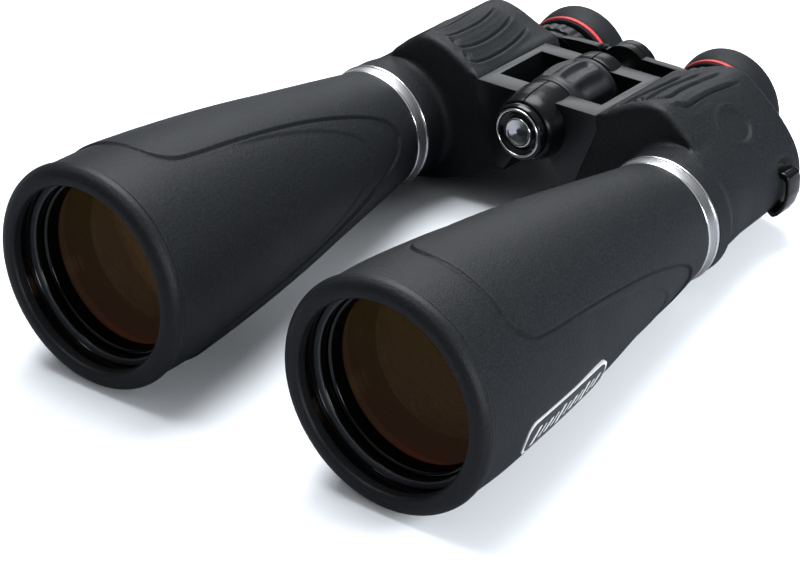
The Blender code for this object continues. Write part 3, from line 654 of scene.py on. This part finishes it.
# (x, station) paths of the four finger grooves on top of each housing, from the hinge outwards
GROOVES = {
    "right": (
        ((36.8, 193.6), (37.6, 195.2), (38.0, 199), (38.3, 206), (38.5, 216), (38.6, 226), (38.8, 235)),
        ((45.0, 193.4), (47.2, 193.6), (47.9, 196.5), (47.4, 203), (46.8, 211), (47.0, 222), (48.0, 235)),
        ((52.6, 195.6), (54.6, 197.0), (55.5, 199.4), (55.0, 205), (54.7, 213), (55.2, 224), (56.3, 235)),
        ((60.6, 196.4), (62.0, 198.2), (63.0, 200.8), (62.9, 206), (62.7, 214), (63.4, 226), (64.8, 235)),
    ),
    "left": (
        ((38.6, 191.7), (36.4, 191.3), (34.9, 193.4), (33.9, 200), (34.1, 209), (35.2, 219), (36.8, 227),
         (38.6, 234)),
        ((46.5, 193.4), (43.4, 193.2), (41.9, 196.2), (41.1, 204), (41.9, 214), (44.0, 225), (46.6, 234)),
        ((52.6, 192.9), (50.6, 194.0), (49.2, 199), (49.3, 207), (50.4, 217), (52.5, 226), (54.9, 234)),
        ((58.8, 191.8), (56.9, 193.9), (55.6, 200), (56.5, 210), (58.8, 221), (61.5, 232)),
    ),
}
GROOVE_STRENGTH = {"right": (1.5, 1.3, 1.1, 1.0), "left": (1.0, 1.0, 1.0, 1.0)}
# the round mark, whose (x, station) distances stretch in x because the rubber slopes down there
MARK_CENTRE = (75.2, 216.0)
MARK_RADIUS = 8.4
MARK_STRETCH = 1.4


def inward_normals(ring):
    """Unit normals into a closed ring of (x, height) points."""
    tangent = np.roll(ring, -1, 0) - np.roll(ring, 1, 0)
    inward = np.stack([tangent[:, 1], -tangent[:, 0]], -1)
    return inward / np.linalg.norm(inward, axis=1)[:, None]


def housing_rows(density):
    """Points of the rubber skin: collar, fillet, front wall, rounded edge, box and rounded rear.

    Also says which columns lie behind the hinge frame, where the skin is left open.
    """
    front = spline(FRONT_OUTLINE, density, closed=True)
    rear = spline(REAR_OUTLINE, density, closed=True)
    count = len(front)
    corners = len(FRONT_OUTLINE)
    index = np.arange(count) / density
    in_frame = (index >= FRAME_CORNER) | (index == 0)
    corner_gap = np.minimum(np.minimum(np.abs(index - FRAME_CORNER), index), corners - index)
    frame_share = np.where(in_frame, 1.0, np.clip(1 - corner_gap / 0.9, 0, 1))
    centre = np.array([BARREL_X, 0.0])
    heading = front - centre
    angle = np.arctan2(heading[:, 1], heading[:, 0])
    collar = centre + COLLAR_RADIUS * np.stack([np.cos(angle), np.sin(angle)], -1)
    inward = inward_normals(front)

    def rise_from_collar(points):
        outside = np.sign(((points - collar) * heading).sum(1))
        return np.linalg.norm(points - collar, axis=1) * outside

    edge = EDGE_RADIUS * (1 - 0.93 * frame_share) * np.clip(rise_from_collar(front) / 6, 0.1, 1)
    wall_top = front + inward * edge[:, None] * 0.9
    steep = ease((rise_from_collar(wall_top) - 0.3) / 2.6)[:, None]

    rows = []

    def add(points, station):
        stations = np.broadcast_to(station, (count,))
        rows.append(np.stack([points[:, 0], stations, points[:, 1]], -1))

    def box(station):
        blend = ease((station - 195) / 42)
        return front + (rear - front) * np.reshape(blend, (-1, 1))

    # the collar behind the bright ring
    for station in np.linspace(NECK_START, NECK_END, 14):
        tuck = 0.35 if station == NECK_START else 0.0
        add(centre + (collar - centre) * (1 - tuck / COLLAR_RADIUS), station)
    # the wall, which stands up steeply where the box rises well clear of the collar
    for t in np.linspace(0, 1, 17)[1:]:
        steep_share = 1 - (1 - min(t * 2.2, 1)) ** 2
        along = steep[:, 0] * steep_share + (1 - steep[:, 0]) * t
        share = steep * t * t + (1 - steep) * ease(t) * 0.45
        add(collar + (wall_top - collar) * share, NECK_END + (WALL_STATION - NECK_END) * along)
    base = collar + (wall_top - collar) * 0.45
    # the rounded front edge
    for t in np.linspace(0, 1, 8)[1:]:
        turn = t * math.pi / 2
        target = wall_top + (front - wall_top) * math.sin(turn)
        last_points = base + (target - base) * (steep + (1 - steep) * 0.3 * t)
        last_station = WALL_STATION + edge * (1 - math.cos(turn))
        add(last_points, last_station)
    # the box, then its rounded rear edge
    for t in np.linspace(0, 1, 23)[1:]:
        station = last_station + (BOX_START - last_station) * t
        add(last_points * (1 - ease(t)) + box(station) * ease(t), station)
    beside_frame = np.linspace(BOX_START + 0.5, FRAME_REAR, 54)
    behind_frame = np.linspace(FRAME_REAR + 0.6, SKIN_END, 18)
    for station in np.concatenate([beside_frame, behind_frame]):
        into_edge = max(station - (SKIN_END - REAR_ROUNDING), 0) / REAR_ROUNDING
        tuck = REAR_ROUNDING * (1 - math.sqrt(1 - min(into_edge, 0.995) ** 2))
        last_points = box(station) + inward * tuck
        add(last_points, station)
    add(last_points + inward * 0.9, SKIN_END + 0.08)
    return np.array(rows), in_frame


def relief_of_grooves(points, side):
    """Relief of the finger grooves and the round mark, for points of the housing on the +x side.

    A groove is a cut line with a raised lip towards the hinge and a hollow on its outer side.
    """
    flat = points[:, :2]
    relief = np.zeros(len(points))
    top = points[:, 2] > 8
    for groove, strength in zip(GROOVES[side], GROOVE_STRENGTH[side]):
        path = spline(groove, 8)
        low, high = path.min(0) - 5, path.max(0) + 5
        near = top & (flat > low).all(1) & (flat < high).all(1)
        distance, turn = path_distance(flat[near], path)
        fade = ease((237.5 - flat[near, 1]) / 9) * ease((flat[near, 1] - 187.8) / 3)
        signed = -distance * turn
        line = -1.5 * np.exp(-(distance / 0.5) ** 2)
        lip = 0.42 * np.exp(-((signed + 1.3) / 1.3) ** 2) - 0.30 * np.exp(-((signed - 1.5) / 1.6) ** 2)
        relief[near] += (line + lip) * fade * strength
    away = np.linalg.norm((flat - MARK_CENTRE) * (MARK_STRETCH, 1.0), axis=1)
    mark = top & (away < MARK_RADIUS + 6)
    disc = -0.75 * ease((MARK_RADIUS - away) / 1.0)
    bead = 0.40 * np.exp(-((away - MARK_RADIUS - 0.9) / 0.9) ** 2)
    relief[mark] += (disc + bead)[mark]
    return relief


def housing_grid(density):
    """The housing's points on the +x side, their outward normals and the columns behind the frame."""
    grid, in_frame = housing_rows(density)
    across = np.roll(grid, -1, 1) - np.roll(grid, 1, 1)
    normal = np.cross(across, np.gradient(grid, axis=0))
    normal /= np.maximum(np.linalg.norm(normal, axis=2, keepdims=True), 1e-9)
    normal *= np.sign((normal * (grid - np.array(HOUSING_MIDDLE))).sum(2).mean())
    return grid, normal, in_frame


def lug_pocket(points):
    """The recess in the rubber round the upper foot of the strap lug."""
    away = (points - np.array([91.0, 231.0, 7.5])) / np.array([6.0, 6.0, 4.2])
    return -2.2 * ease(1.15 - np.linalg.norm(away, axis=1))


def make_housing_skin(side, sign):
    """The rubber over the prism box, open where the hinge frame stands."""
    grid, normal, in_frame = housing_grid(17)
    stations = grid[..., 1]
    flat = grid.reshape(-1, 3)
    relief = relief_of_grooves(flat, side) + lug_pocket(flat)
    grid = grid + normal * relief.reshape(stations.shape)[..., None]
    grid[..., 0] *= sign
    behind_wall = stations[:-1].min(1) > WALL_STATION - 0.01
    before_rear = stations[1:].max(1) < FRAME_REAR + 0.01
    open_rows, open_columns = behind_wall & before_rear, in_frame & np.roll(in_frame, -1)
    keep = ~(open_rows[:, None] & open_columns[None, :])
    mesh = tidy_mesh(grid_mesh("housing_skin_" + side, grid, False, True, keep))
    piece = new_object("housing_skin_" + side, mesh, ARMOUR)
    thicken(piece, 2.0)
    piece.data.shade_smooth()
    place(piece, side + "_half", ["housing_armour_" + side])


# ======== castings

def mirrored(sign, outline):
    return [(sign * x, z) for x, z in outline]


def make_casting(side, sign):
    """The hinge frame with its window, half of both knuckles, and the plain prism box under the rubber."""
    body = side + "_half"
    outline = ((28.8, 28.0), (4.0, 28.0), (6.9, 4.0), (14.6, -7.6), (18.2, -8.2), (30.0, 22.0), (28.9, 27.9))
    mesh = slab_mesh("hinge_frame_" + side, mirrored(sign, outline), 186.8, FRAME_REAR)
    piece = new_object("hinge_frame_" + side, mesh, FRAME_PAINT)
    window = ((-6, 45), (25, 45), (25, 28), (11.0, -8.0), (11.0, -20), (-6, -20))
    window_cut = slab_mesh("window", mirrored(sign, window), 196.8, 226.0)
    # the window's cut walls take the painted shade material
    window_cut.materials.append(PAINTED_SHADE_WELL)
    boolean(piece, window_cut, "DIFFERENCE")
    boolean(piece, rod_mesh(11.3, 170, 250, 0.0, HINGE_HEIGHT), "DIFFERENCE")
    soften_edges(piece, 0.7)
    place(piece, body, ["prism_housing_" + side])

    low, high = math.radians(-62.5), math.radians(88.6)
    if sign < 0:
        low, high = math.pi - high, math.pi - low
    front = ((11.25, 178.4), (12.3, 178.4), (13.2, 179.6), (14.2, 182.8), (14.9, 187.0), (15.4, 192.0),
             (15.1, 196.9), (11.25, 196.9))
    rear = ((11.25, 226.3), (15.0, 226.3), (15.4, 229.5), (15.2, 233.0), (14.5, 235.5), (11.25, 235.5))
    for name, outline in (("front_knuckle_", front), ("rear_knuckle_", rear)):
        mesh = turned_mesh(name + side, fillet(outline, 0.9, 4), 0.0, HINGE_HEIGHT, 40, low, high)
        place(new_object(name + side, tidy_mesh(mesh, sharp_angle=35), SATIN), body)

    grid, normal, _ = housing_grid(4)
    under_rubber = 3.4
    grid = grid - normal * under_rubber
    grid[..., 0] *= sign
    mesh = tidy_mesh(grid_mesh("prism_box_" + side, grid, False, True), 40)
    piece = new_object("prism_box_" + side, mesh, BLACK_METAL)
    thicken(piece, 1.6)
    place(piece, body)


def make_rear_cover(side, sign):
    """The plate that closes the prism box, with a rounded edge, and the bush of the eyepiece guide."""
    body = side + "_half"
    inset, rounding, start, rounding_start = 3.4, 1.4, 241.9, 244.5
    deepest = inset + rounding
    rear = spline(REAR_OUTLINE, 8, closed=True)
    inward = inward_normals(rear)
    moved = rear + inward * deepest
    clear = np.linalg.norm(moved[:, None] - rear[None], axis=2).min(1) > 0.985 * deepest
    rear, inward = rear[clear], inward[clear]
    layers = [(inset, start)]
    for turn in np.linspace(0, math.pi / 2, 7):
        layers.append((inset + rounding * (1 - math.cos(turn)), rounding_start + 1.5 * math.sin(turn)))
    grid = []
    for depth, station in layers:
        ring = rear + inward * depth
        grid.append(np.stack([sign * ring[:, 0], np.full(len(ring), station), ring[:, 1]], -1))
    mesh = close_up(grid_mesh("rear_plate_" + side, np.array(grid), False, True))
    piece = new_object("rear_plate_" + side, mesh, SATIN)
    boolean(piece, rod_mesh(12.7, 235, 255, sign * EYE_X, EYE_HEIGHT), "DIFFERENCE")
    tidy_mesh(piece.data, sharp_angle=30, weld=1e-6)
    place(piece, body, ["rear_cover_" + side])

    guide = ((10.4, 241.9), (12.45, 241.9), (12.45, 246.3), (10.4, 246.3))
    lathe("guide_bush_" + side, guide, BLACK_METAL, body, "black_anodised", ["eyepiece_guide_" + side],
          x=sign * EYE_X, height=EYE_HEIGHT)


def make_strap_lug(side, sign):
    loop = ((89.4, 6.3), (92.6, 6.5), (94.6, 5.4), (95.4, 2.5), (95.4, -3.0), (93.8, -8.5), (91.0, -12.8),
            (88.4, -14.4), (85.6, -12.4), (86.6, -10.0), (89.8, -11.0), (92.2, -7.6), (93.7, -2.6),
            (93.5, 2.6), (92.2, 3.6), (89.4, 3.7))
    mesh = slab_mesh("strap_loop_" + side, mirrored(sign, fillet(loop, 1.0, 3)), 227.0, 236.0)
    piece = new_object("strap_loop_" + side, mesh, GLOSS)
    soften_edges(piece, 0.6, 3, 40)
    place(piece, side + "_half", ["strap_lug_" + side])


# ======== centre line

TRIPOD_PITCH = 1.27
BRIDGE_FRONT = 250.5


def make_hinge_cores():
    front = ((5.2, 190.8), (5.2, 178.7), (11.0, 178.7), (11.0, 196.6), (5.2, 196.6), (5.2, 191.2))
    lathe("hinge_pin_front", front, BLACK_METAL, "right_half", "black_anodised", ["hinge_core_front"])
    rear = ((4.4, 226.4), (11.0, 226.4), (11.0, 235.3), (4.4, 235.3))
    lathe("hinge_pin_rear", rear, BLACK_METAL, "right_half", "black_anodised", ["hinge_core_rear"])
    socket = [(4.9, 178.9), (4.9, 190.6), (3.4, 190.6)] + thread(179.3, 190.1, 3.5, 0.35, TRIPOD_PITCH)[::-1]
    socket += [(3.4, 178.9)]
    lathe("threaded_insert", socket, BRASS, "right_half", "brass_thread", ["tripod_socket"], rounding=0.0,
          segments=64)


def make_tripod_cap():
    """The gloss cap over the tripod socket: a thin bright ring round a plain dished disc."""
    cap = [(0, 186.0)] + thread(178.6, 186.0, 2.9, 0.3, TRIPOD_PITCH)[::-1]
    cap += [(11.3, 178.3), (11.9, 177.6), (11.9, 176.2), (11.35, 174.9), (10.5, 174.6), (10.45, 175.5),
            (9.3, 175.5), (9.25, 174.8), (8.9, 174.8), (7.6, 175.9), (4.0, 176.9), (0, 177.2)]
    lathe("cap_body", cap, GLOSS, "tripod_cap", "gloss_black_cap", ["tripod_cap"], rounding=0.18,
          closed=False)
    ring = ((9.4, 174.45), (9.75, 174.2), (10.1, 174.2), (10.4, 174.5), (10.4, 175.4), (9.4, 175.4))
    lathe("cap_bright_ring", ring, CHROME, "tripod_cap", "chrome_trim", ["cap_trim_ring"], rounding=0.2)
    dish = ((0, 176.4), (1.6, 176.3), (4.6, 175.3), (5.4, 174.85), (5.9, 174.8), (6.3, 175.2), (6.3, 176.5),
            (0, 176.6))
    lathe("cap_dish", dish, CHROME, "tripod_cap", "chrome_trim", ["cap_medallion"], rounding=0.25,
          closed=False)


def make_focus_wheel():
    """A barrel-shaped rubber grip with long scooped flutes and a plain ring at each end."""
    flutes = 12
    start, end = 197.3, 225.5
    length = end - start

    def flute(radius, station, angle):
        share = np.clip((station - start) / length, 0, 1)
        inside = ease((share - 0.10) / 0.16) * ease((0.90 - share) / 0.16)
        phase = (angle / (2 * math.pi) * flutes) % 1.0
        scoop = np.clip(1 - np.abs(phase - 0.5) / 0.44, 0, 1)
        bulge = 1.9 * np.sin(math.pi * share)
        ramped = 0.55 + 0.9 * (phase - 0.5)
        outer = radius > 14.0
        return radius + outer * (bulge - 2.5 * inside * np.sin(scoop * math.pi / 2) ** 1.2 * ramped)

    outer = []
    for share in np.linspace(0.0, 1.0, 61)[1:-1]:
        seam = 0.075 if share < 0.5 else 0.925
        outer.append((15.0 - 0.9 * math.exp(-((share - seam) / 0.012) ** 2), start + length * share))
    outline = [(13.3, start), (14.6, start)] + outer + [(14.6, end), (13.3, end)]
    lathe("wheel_grip", outline, GRIP, "focus_wheel", "grip_rubber", ["focus_wheel_grip"], rounding=0.0,
          wave=flute, segments=288)
    core = ((2.95, 197.2), (13.1, 197.2), (13.1, 225.6), (4.5, 225.6), (4.5, 200.3), (2.95, 200.3))
    lathe("wheel_hub", core, BLACK_METAL, "focus_wheel", "black_anodised", ["focus_wheel_core"])


def make_bridge_arm(side, sign, body, hub_front):
    """One arm of the eyepiece bridge: slim bar with a rounded top edge, hub and eyepiece ring.

    The left arm's hub lies behind the right one, so its bar steps back through a short link.
    """
    thickness, seam = 4.0, 0.2
    front, rear, hub_rear = BRIDGE_FRONT, BRIDGE_FRONT + thickness, hub_front + thickness
    stepped = hub_front > front
    start = 12.8 if stepped else 3.0
    bar = ((start, 25.0), (24, 24.9), (34, 24.0), (36, 18), (36, -6), (26, 2), (start, 8))
    bar = mirrored(sign, fillet(bar, 2.0, 4))
    piece = new_object("bridge_bar_" + side, slab_mesh("bar", bar, front + seam, rear - seam), SATIN)
    boolean(piece, rod_mesh(19.5, front, rear, sign * EYE_X, EYE_HEIGHT, 96), "UNION")
    if stepped:
        step = ((start + 0.4, 23.6), (20.0, 22.4), (16.2, 15.0), (15.8, 9.4), (start + 0.4, 9.4))
        boolean(piece, slab_mesh("step", mirrored(sign, step), rear - 1.0, hub_rear - seam), "UNION")
        link = ((2.0, 22.6), (15.4, 22.6), (15.4, 9.8), (2.0, 9.8))
        boolean(piece, slab_mesh("link", mirrored(sign, link), hub_front + seam, hub_rear - 0.4), "UNION")
    boolean(piece, rod_mesh(12.0, hub_front, hub_rear, 0.0, HINGE_HEIGHT, 96), "UNION")
    boolean(piece, rod_mesh(4.4, 240, 275, 0.0, HINGE_HEIGHT), "DIFFERENCE")
    boolean(piece, rod_mesh(10.3, 240, 275, sign * EYE_X, EYE_HEIGHT), "DIFFERENCE")
    soften_edges(piece, 0.55, 3, 40)
    place(piece, body, ["bridge_arm_" + side])


def make_bridge():
    make_bridge_arm("right", 1, "bridge_right", BRIDGE_FRONT)
    make_bridge_arm("left", -1, "bridge_left", 254.8)
    shaft = ((0, 228), (2.9, 228), (2.9, 206), (4.1, 206), (4.1, 259.0), (0, 259.0))
    lathe("bridge_shaft", shaft, STEEL, "bridge_right", "steel_shaft", ["focus_shaft"], closed=False)
    cap = ((0, 259.2), (9.0, 259.2), (9.2, 260.6), (7.8, 262.0), (4.0, 262.5), (0, 262.6))
    lathe("shaft_cap", cap, GLOSS, "bridge_right", "gloss_black_cap", ["bridge_end_cap"], closed=False,
          rounding=0.6)


# ======== eyepieces

def ribs(count, depth, inner):
    def wave(radius, station, angle):
        tooth = 0.5 + 0.5 * np.cos(angle * count)
        return radius - np.where(radius > inner, depth * tooth ** 2, 0.0)
    return wave


def make_eyepiece(side, sign, holder, ring_body, ring_node):
    """Ribbed ring, barrel with its lens, and the twist-up rubber cup with its red band."""
    spot = dict(x=sign * EYE_X, height=EYE_HEIGHT)
    ring = ((10.8, 254.9), (19.9, 254.9), (20.7, 255.5), (20.7, 260.2), (20.1, 260.8), (10.8, 260.8))
    lathe("ribbed_ring_" + side, ring, GRIP, ring_body, "grip_rubber", [ring_node],
          wave=ribs(26, 0.45, 20.3), segments=312, rounding=0.3, **spot)
    barrel = ((8.4, 238), (10.0, 238), (10.0, 262.5), (16.5, 262.5), (16.5, 273), (14.9, 273.2),
              (14.2, 270.4), (14.0, 265), (8.4, 264))
    lathe("eyepiece_body_" + side, barrel, BLACK_METAL, holder, "black_anodised", ["ocular_barrel_" + side],
          **spot)
    edge = 13.8
    radii = np.linspace(0, edge, 10)
    lens = [(r, 266.6 - 1.0 * (1 - (r / edge) ** 2)) for r in radii]
    lens += [(r, 269.8 + 2.0 * (1 - (r / edge) ** 2)) for r in radii[::-1]]
    lathe("eyepiece_lens_" + side, lens, EYE_GLASS, holder, "coated_eyepiece_glass", ["eye_lens_" + side],
          rounding=0.0, closed=False, **spot)
    cup = ((18.9, 263.0), (20.9, 263.0), (21.4, 263.3), (21.3, 263.9), (20.7, 264.0), (20.7, 265.8),
           (21.9, 266.1), (22.9, 268.2), (23.6, 271.0), (24.0, 274.2), (23.7, 276.2), (22.7, 277.0),
           (21.2, 277.0), (20.2, 276.0), (18.9, 273.2))
    lathe("rubber_cup_" + side, cup, EYECUP, "eyecup_" + side, "eyecup_rubber", ["eyecup_" + side],
          rounding=0.5, **spot)
    red = ((20.8, 264.0), (22.0, 264.0), (22.15, 264.9), (22.1, 265.8), (20.8, 265.8))
    lathe("red_band_" + side, red, RED, "eyecup_" + side, "red_ring", ["accent_ring_" + side],
          rounding=0.25, **spot)


# ======== name plate

BADGE_ANGLES = (-29.0, -9.5)
BADGE_STATIONS = (25.5, 82.0)
BADGE_CORNER = 5.0


def on_barrel(station, angle, lift):
    """A point of the right barrel's skin, raised by lift, with the angle in radians."""
    radius = skin_radius(station) + lift
    return np.stack([BARREL_X + radius * np.cos(angle), station + 0.0 * angle, radius * np.sin(angle)], -1)


def badge_layer(name, material, inset, lift, base, stands_for=()):
    """A curved plate with round corners, smaller than the whole badge by inset on every side."""
    low, high = BADGE_ANGLES
    start, end = BADGE_STATIONS
    shares = np.linspace(0, 1, 44)
    span = math.radians(high - low) * skin_radius(54.0)
    grid = []
    for station in np.linspace(start + inset, end - inset, 120):
        to_end = min(station - start - inset, end - inset - station)
        corner = BADGE_CORNER - math.sqrt(max(BADGE_CORNER ** 2 - max(BADGE_CORNER - to_end, 0) ** 2, 0))
        margin = (inset + corner) / span
        angle = np.radians(low + (high - low) * (margin + (1 - 2 * margin) * shares))
        top, bottom = on_barrel(station, angle, lift), on_barrel(station, angle, base)
        grid.append(np.concatenate([top, bottom[::-1]]))
    mesh = close_up(grid_mesh(name, np.array(grid), False, True))
    mesh.shade_smooth()
    mesh.set_sharp_from_angle(angle=math.radians(40))
    place(new_object(name, mesh, material), "right_half", stands_for)


def make_name_plate():
    """A curved black badge with a silver rule round it and a row of plain slanted silver bars."""
    badge_layer("badge_border", SILVER, 0.0, -0.35, -1.7, ["name_plate"])
    badge_layer("badge_face", GLOSS, 1.0, -0.25, -1.5)
    middle = math.radians(sum(BADGE_ANGLES) / 2)
    slant = 1.6
    first, last = BADGE_STATIONS[0] + 7, BADGE_STATIONS[1] - 7
    for i, centre in enumerate(np.linspace(first, last, 11)):
        tall = 3.4 if i % 4 == 0 else 2.2
        width = 1.0 if i % 2 == 0 else 0.6
        along, up = np.array([(-1, -1), (1, -1), (1, 1), (-1, 1)]).T
        station = centre + along * width + up * slant
        angle = middle + up * tall / skin_radius(54.0)
        grid = np.array([on_barrel(station, angle, lift) for lift in (-0.35, -0.08)])
        name = "badge_bar_%d" % i
        mesh = close_up(grid_mesh(name, grid, False, True))
        place(new_object(name, mesh, SILVER), "right_half")


# ======== CAD pieces that stay

def paint_cad_nodes():
    painted = {"focus_screw": BRASS}
    for side, _ in SIDES:
        painted["front_prism_" + side] = PRISM_GLASS
        painted["rear_prism_" + side] = PRISM_GLASS
        painted["prism_clip_" + side] = STEEL
        painted["field_lens_" + side] = EYE_GLASS
        painted["eyecup_sleeve_" + side] = SATIN
    for name, material in painted.items():
        node = frame["nodes"][name]
        node.data.materials.clear()
        node.data.materials.append(material)


# ======== stage, lights and camera

RIM_STATION, RIM_RADIUS = 8.0, 45.4
FLOOR_SLOPE = (26.6 - RIM_RADIUS) / (225.0 - RIM_STATION)
FLOOR_BOUNCE = (0.30, 0.31, 0.34)


def make_stage():
    """A white floor that touches both rims and both housings.

    It bounces less light than the camera sees on it, so the shaded undersides stay dark.
    """
    half = 1.5
    mesh = bpy.data.meshes.new("floor")
    mesh.from_pydata([(-half, -half, 0), (half, -half, 0), (half, half, 0), (-half, half, 0)], [],
                     [(0, 1, 2, 3)])
    material = principled("floor_white", (0.93, 0.95, 0.98), 0.7, Specular_IOR_Level=0.1)
    shader = material.node_tree.nodes["Principled BSDF"]
    bounce = add_node(material, "BsdfDiffuse", Color=(*FLOOR_BOUNCE, 1.0))
    seen = add_node(material, "LightPath")
    mix = add_node(material, "MixShader")
    wire(material, seen, mix, "Fac")
    wire(material, bounce, mix, 1)
    wire(material, shader, mix, 2)
    output = material.node_tree.nodes["Material Output"]
    wire(material, mix, output, "Surface")
    floor = new_object("floor", mesh, material)
    floor.rotation_euler = (math.atan(-FLOOR_SLOPE), 0.0, 0.0)
    gap = 0.25
    floor.location = world([(0.0, RIM_STATION, -RIM_RADIUS - gap)])[0]


def make_lights():
    cool = (0.94, 0.97, 1.0)

    def area(name, spot, target, size, power):
        data = bpy.data.lights.new(name, "AREA")
        data.shape = "RECTANGLE"
        data.size, data.size_y = size
        data.energy = power
        data.color = cool
        light = bpy.data.objects.new(name, data)
        bpy.context.scene.collection.objects.link(light)
        light.location = spot
        light.rotation_euler = (Vector(target) - Vector(spot)).to_track_quat("-Z", "Y").to_euler()
        return light

    centre = (0.0, 0.0, 0.0)
    area("top_softbox", (-0.34, 0.18, 1.44), centre, (1.2, 1.0), 40.0)
    area("front_softbox", (1.2, -0.55, 0.34), centre, (0.8, 0.4), 8.0)
    floor_light = area("right_softbox", (1.05, 0.50, 0.55), centre, (0.8, 0.5), 22.0)
    floor_light.visible_glossy = False
    for name, spot, size, power in (("back_sheen", (-0.86, 1.38, 0.84), (0.9, 0.8), 5.0),
                                    ("front_glint", (1.1, -0.75, 0.26), (0.3, 0.3), 1.2)):
        light = area(name, spot, (0.0, 0.05, 0.03), size, power)
        light.visible_diffuse = False

    studio = bpy.data.worlds.new("studio")
    bpy.context.scene.world = studio
    studio.use_nodes = True
    studio.node_tree.nodes.clear()
    split = add_node(studio, "SeparateXYZ")
    wire(studio, add_node(studio, "TexCoord"), split, "Vector")
    soft = add_node(studio, "Background", Strength=0.42)
    plain = add_node(studio, "Background", Color=(1, 1, 1, 1), Strength=1.2)
    seen = add_node(studio, "LightPath")
    mix = add_node(studio, "MixShader")
    output = add_node(studio, "OutputWorld")
    shade = ramp(studio, split.outputs["Z"], ((0.15, (0.035, 0.037, 0.045)), (0.8, (0.95, 0.97, 1.0))))
    wire(studio, shade, soft, "Color")
    wire(studio, seen, mix, "Fac")
    wire(studio, soft, mix, 1)
    wire(studio, plain, mix, 2)
    wire(studio, mix, output, "Surface")


def make_camera():
    data = bpy.data.cameras.new("camera")
    data.lens = 123.25
    data.sensor_width = 36.0
    camera = bpy.data.objects.new("camera", data)
    bpy.context.scene.collection.objects.link(camera)
    spot = Vector((0.57326, -0.77411, 0.52320))
    target = Vector((-0.02514, -0.00625, 0.00395))
    roll = 0.004
    camera.location = spot
    aim = (target - spot).to_track_quat("-Z", "Y").to_matrix()
    camera.rotation_euler = (aim @ Matrix.Rotation(roll, 3, "Z")).to_euler()
    bpy.context.scene.camera = camera


# ======== assembly

for side, sign in SIDES:
    make_objective(side, sign)
    make_tube(side, sign)
    make_barrel_armour(side, sign)
    make_housing_skin(side, sign)
    make_casting(side, sign)
    make_rear_cover(side, sign)
    make_strap_lug(side, sign)
make_eyepiece("right", 1, "ocular_right", "dioptre_ring", "dioptre_ring")
make_eyepiece("left", -1, "bridge_left", "bridge_left", "collar_ring")
make_hinge_cores()
make_tripod_cap()
make_focus_wheel()
make_bridge()
make_name_plate()
paint_cad_nodes()
make_stage()
make_lights()
make_camera()
bpy.context.scene.view_settings.view_transform = "Standard"
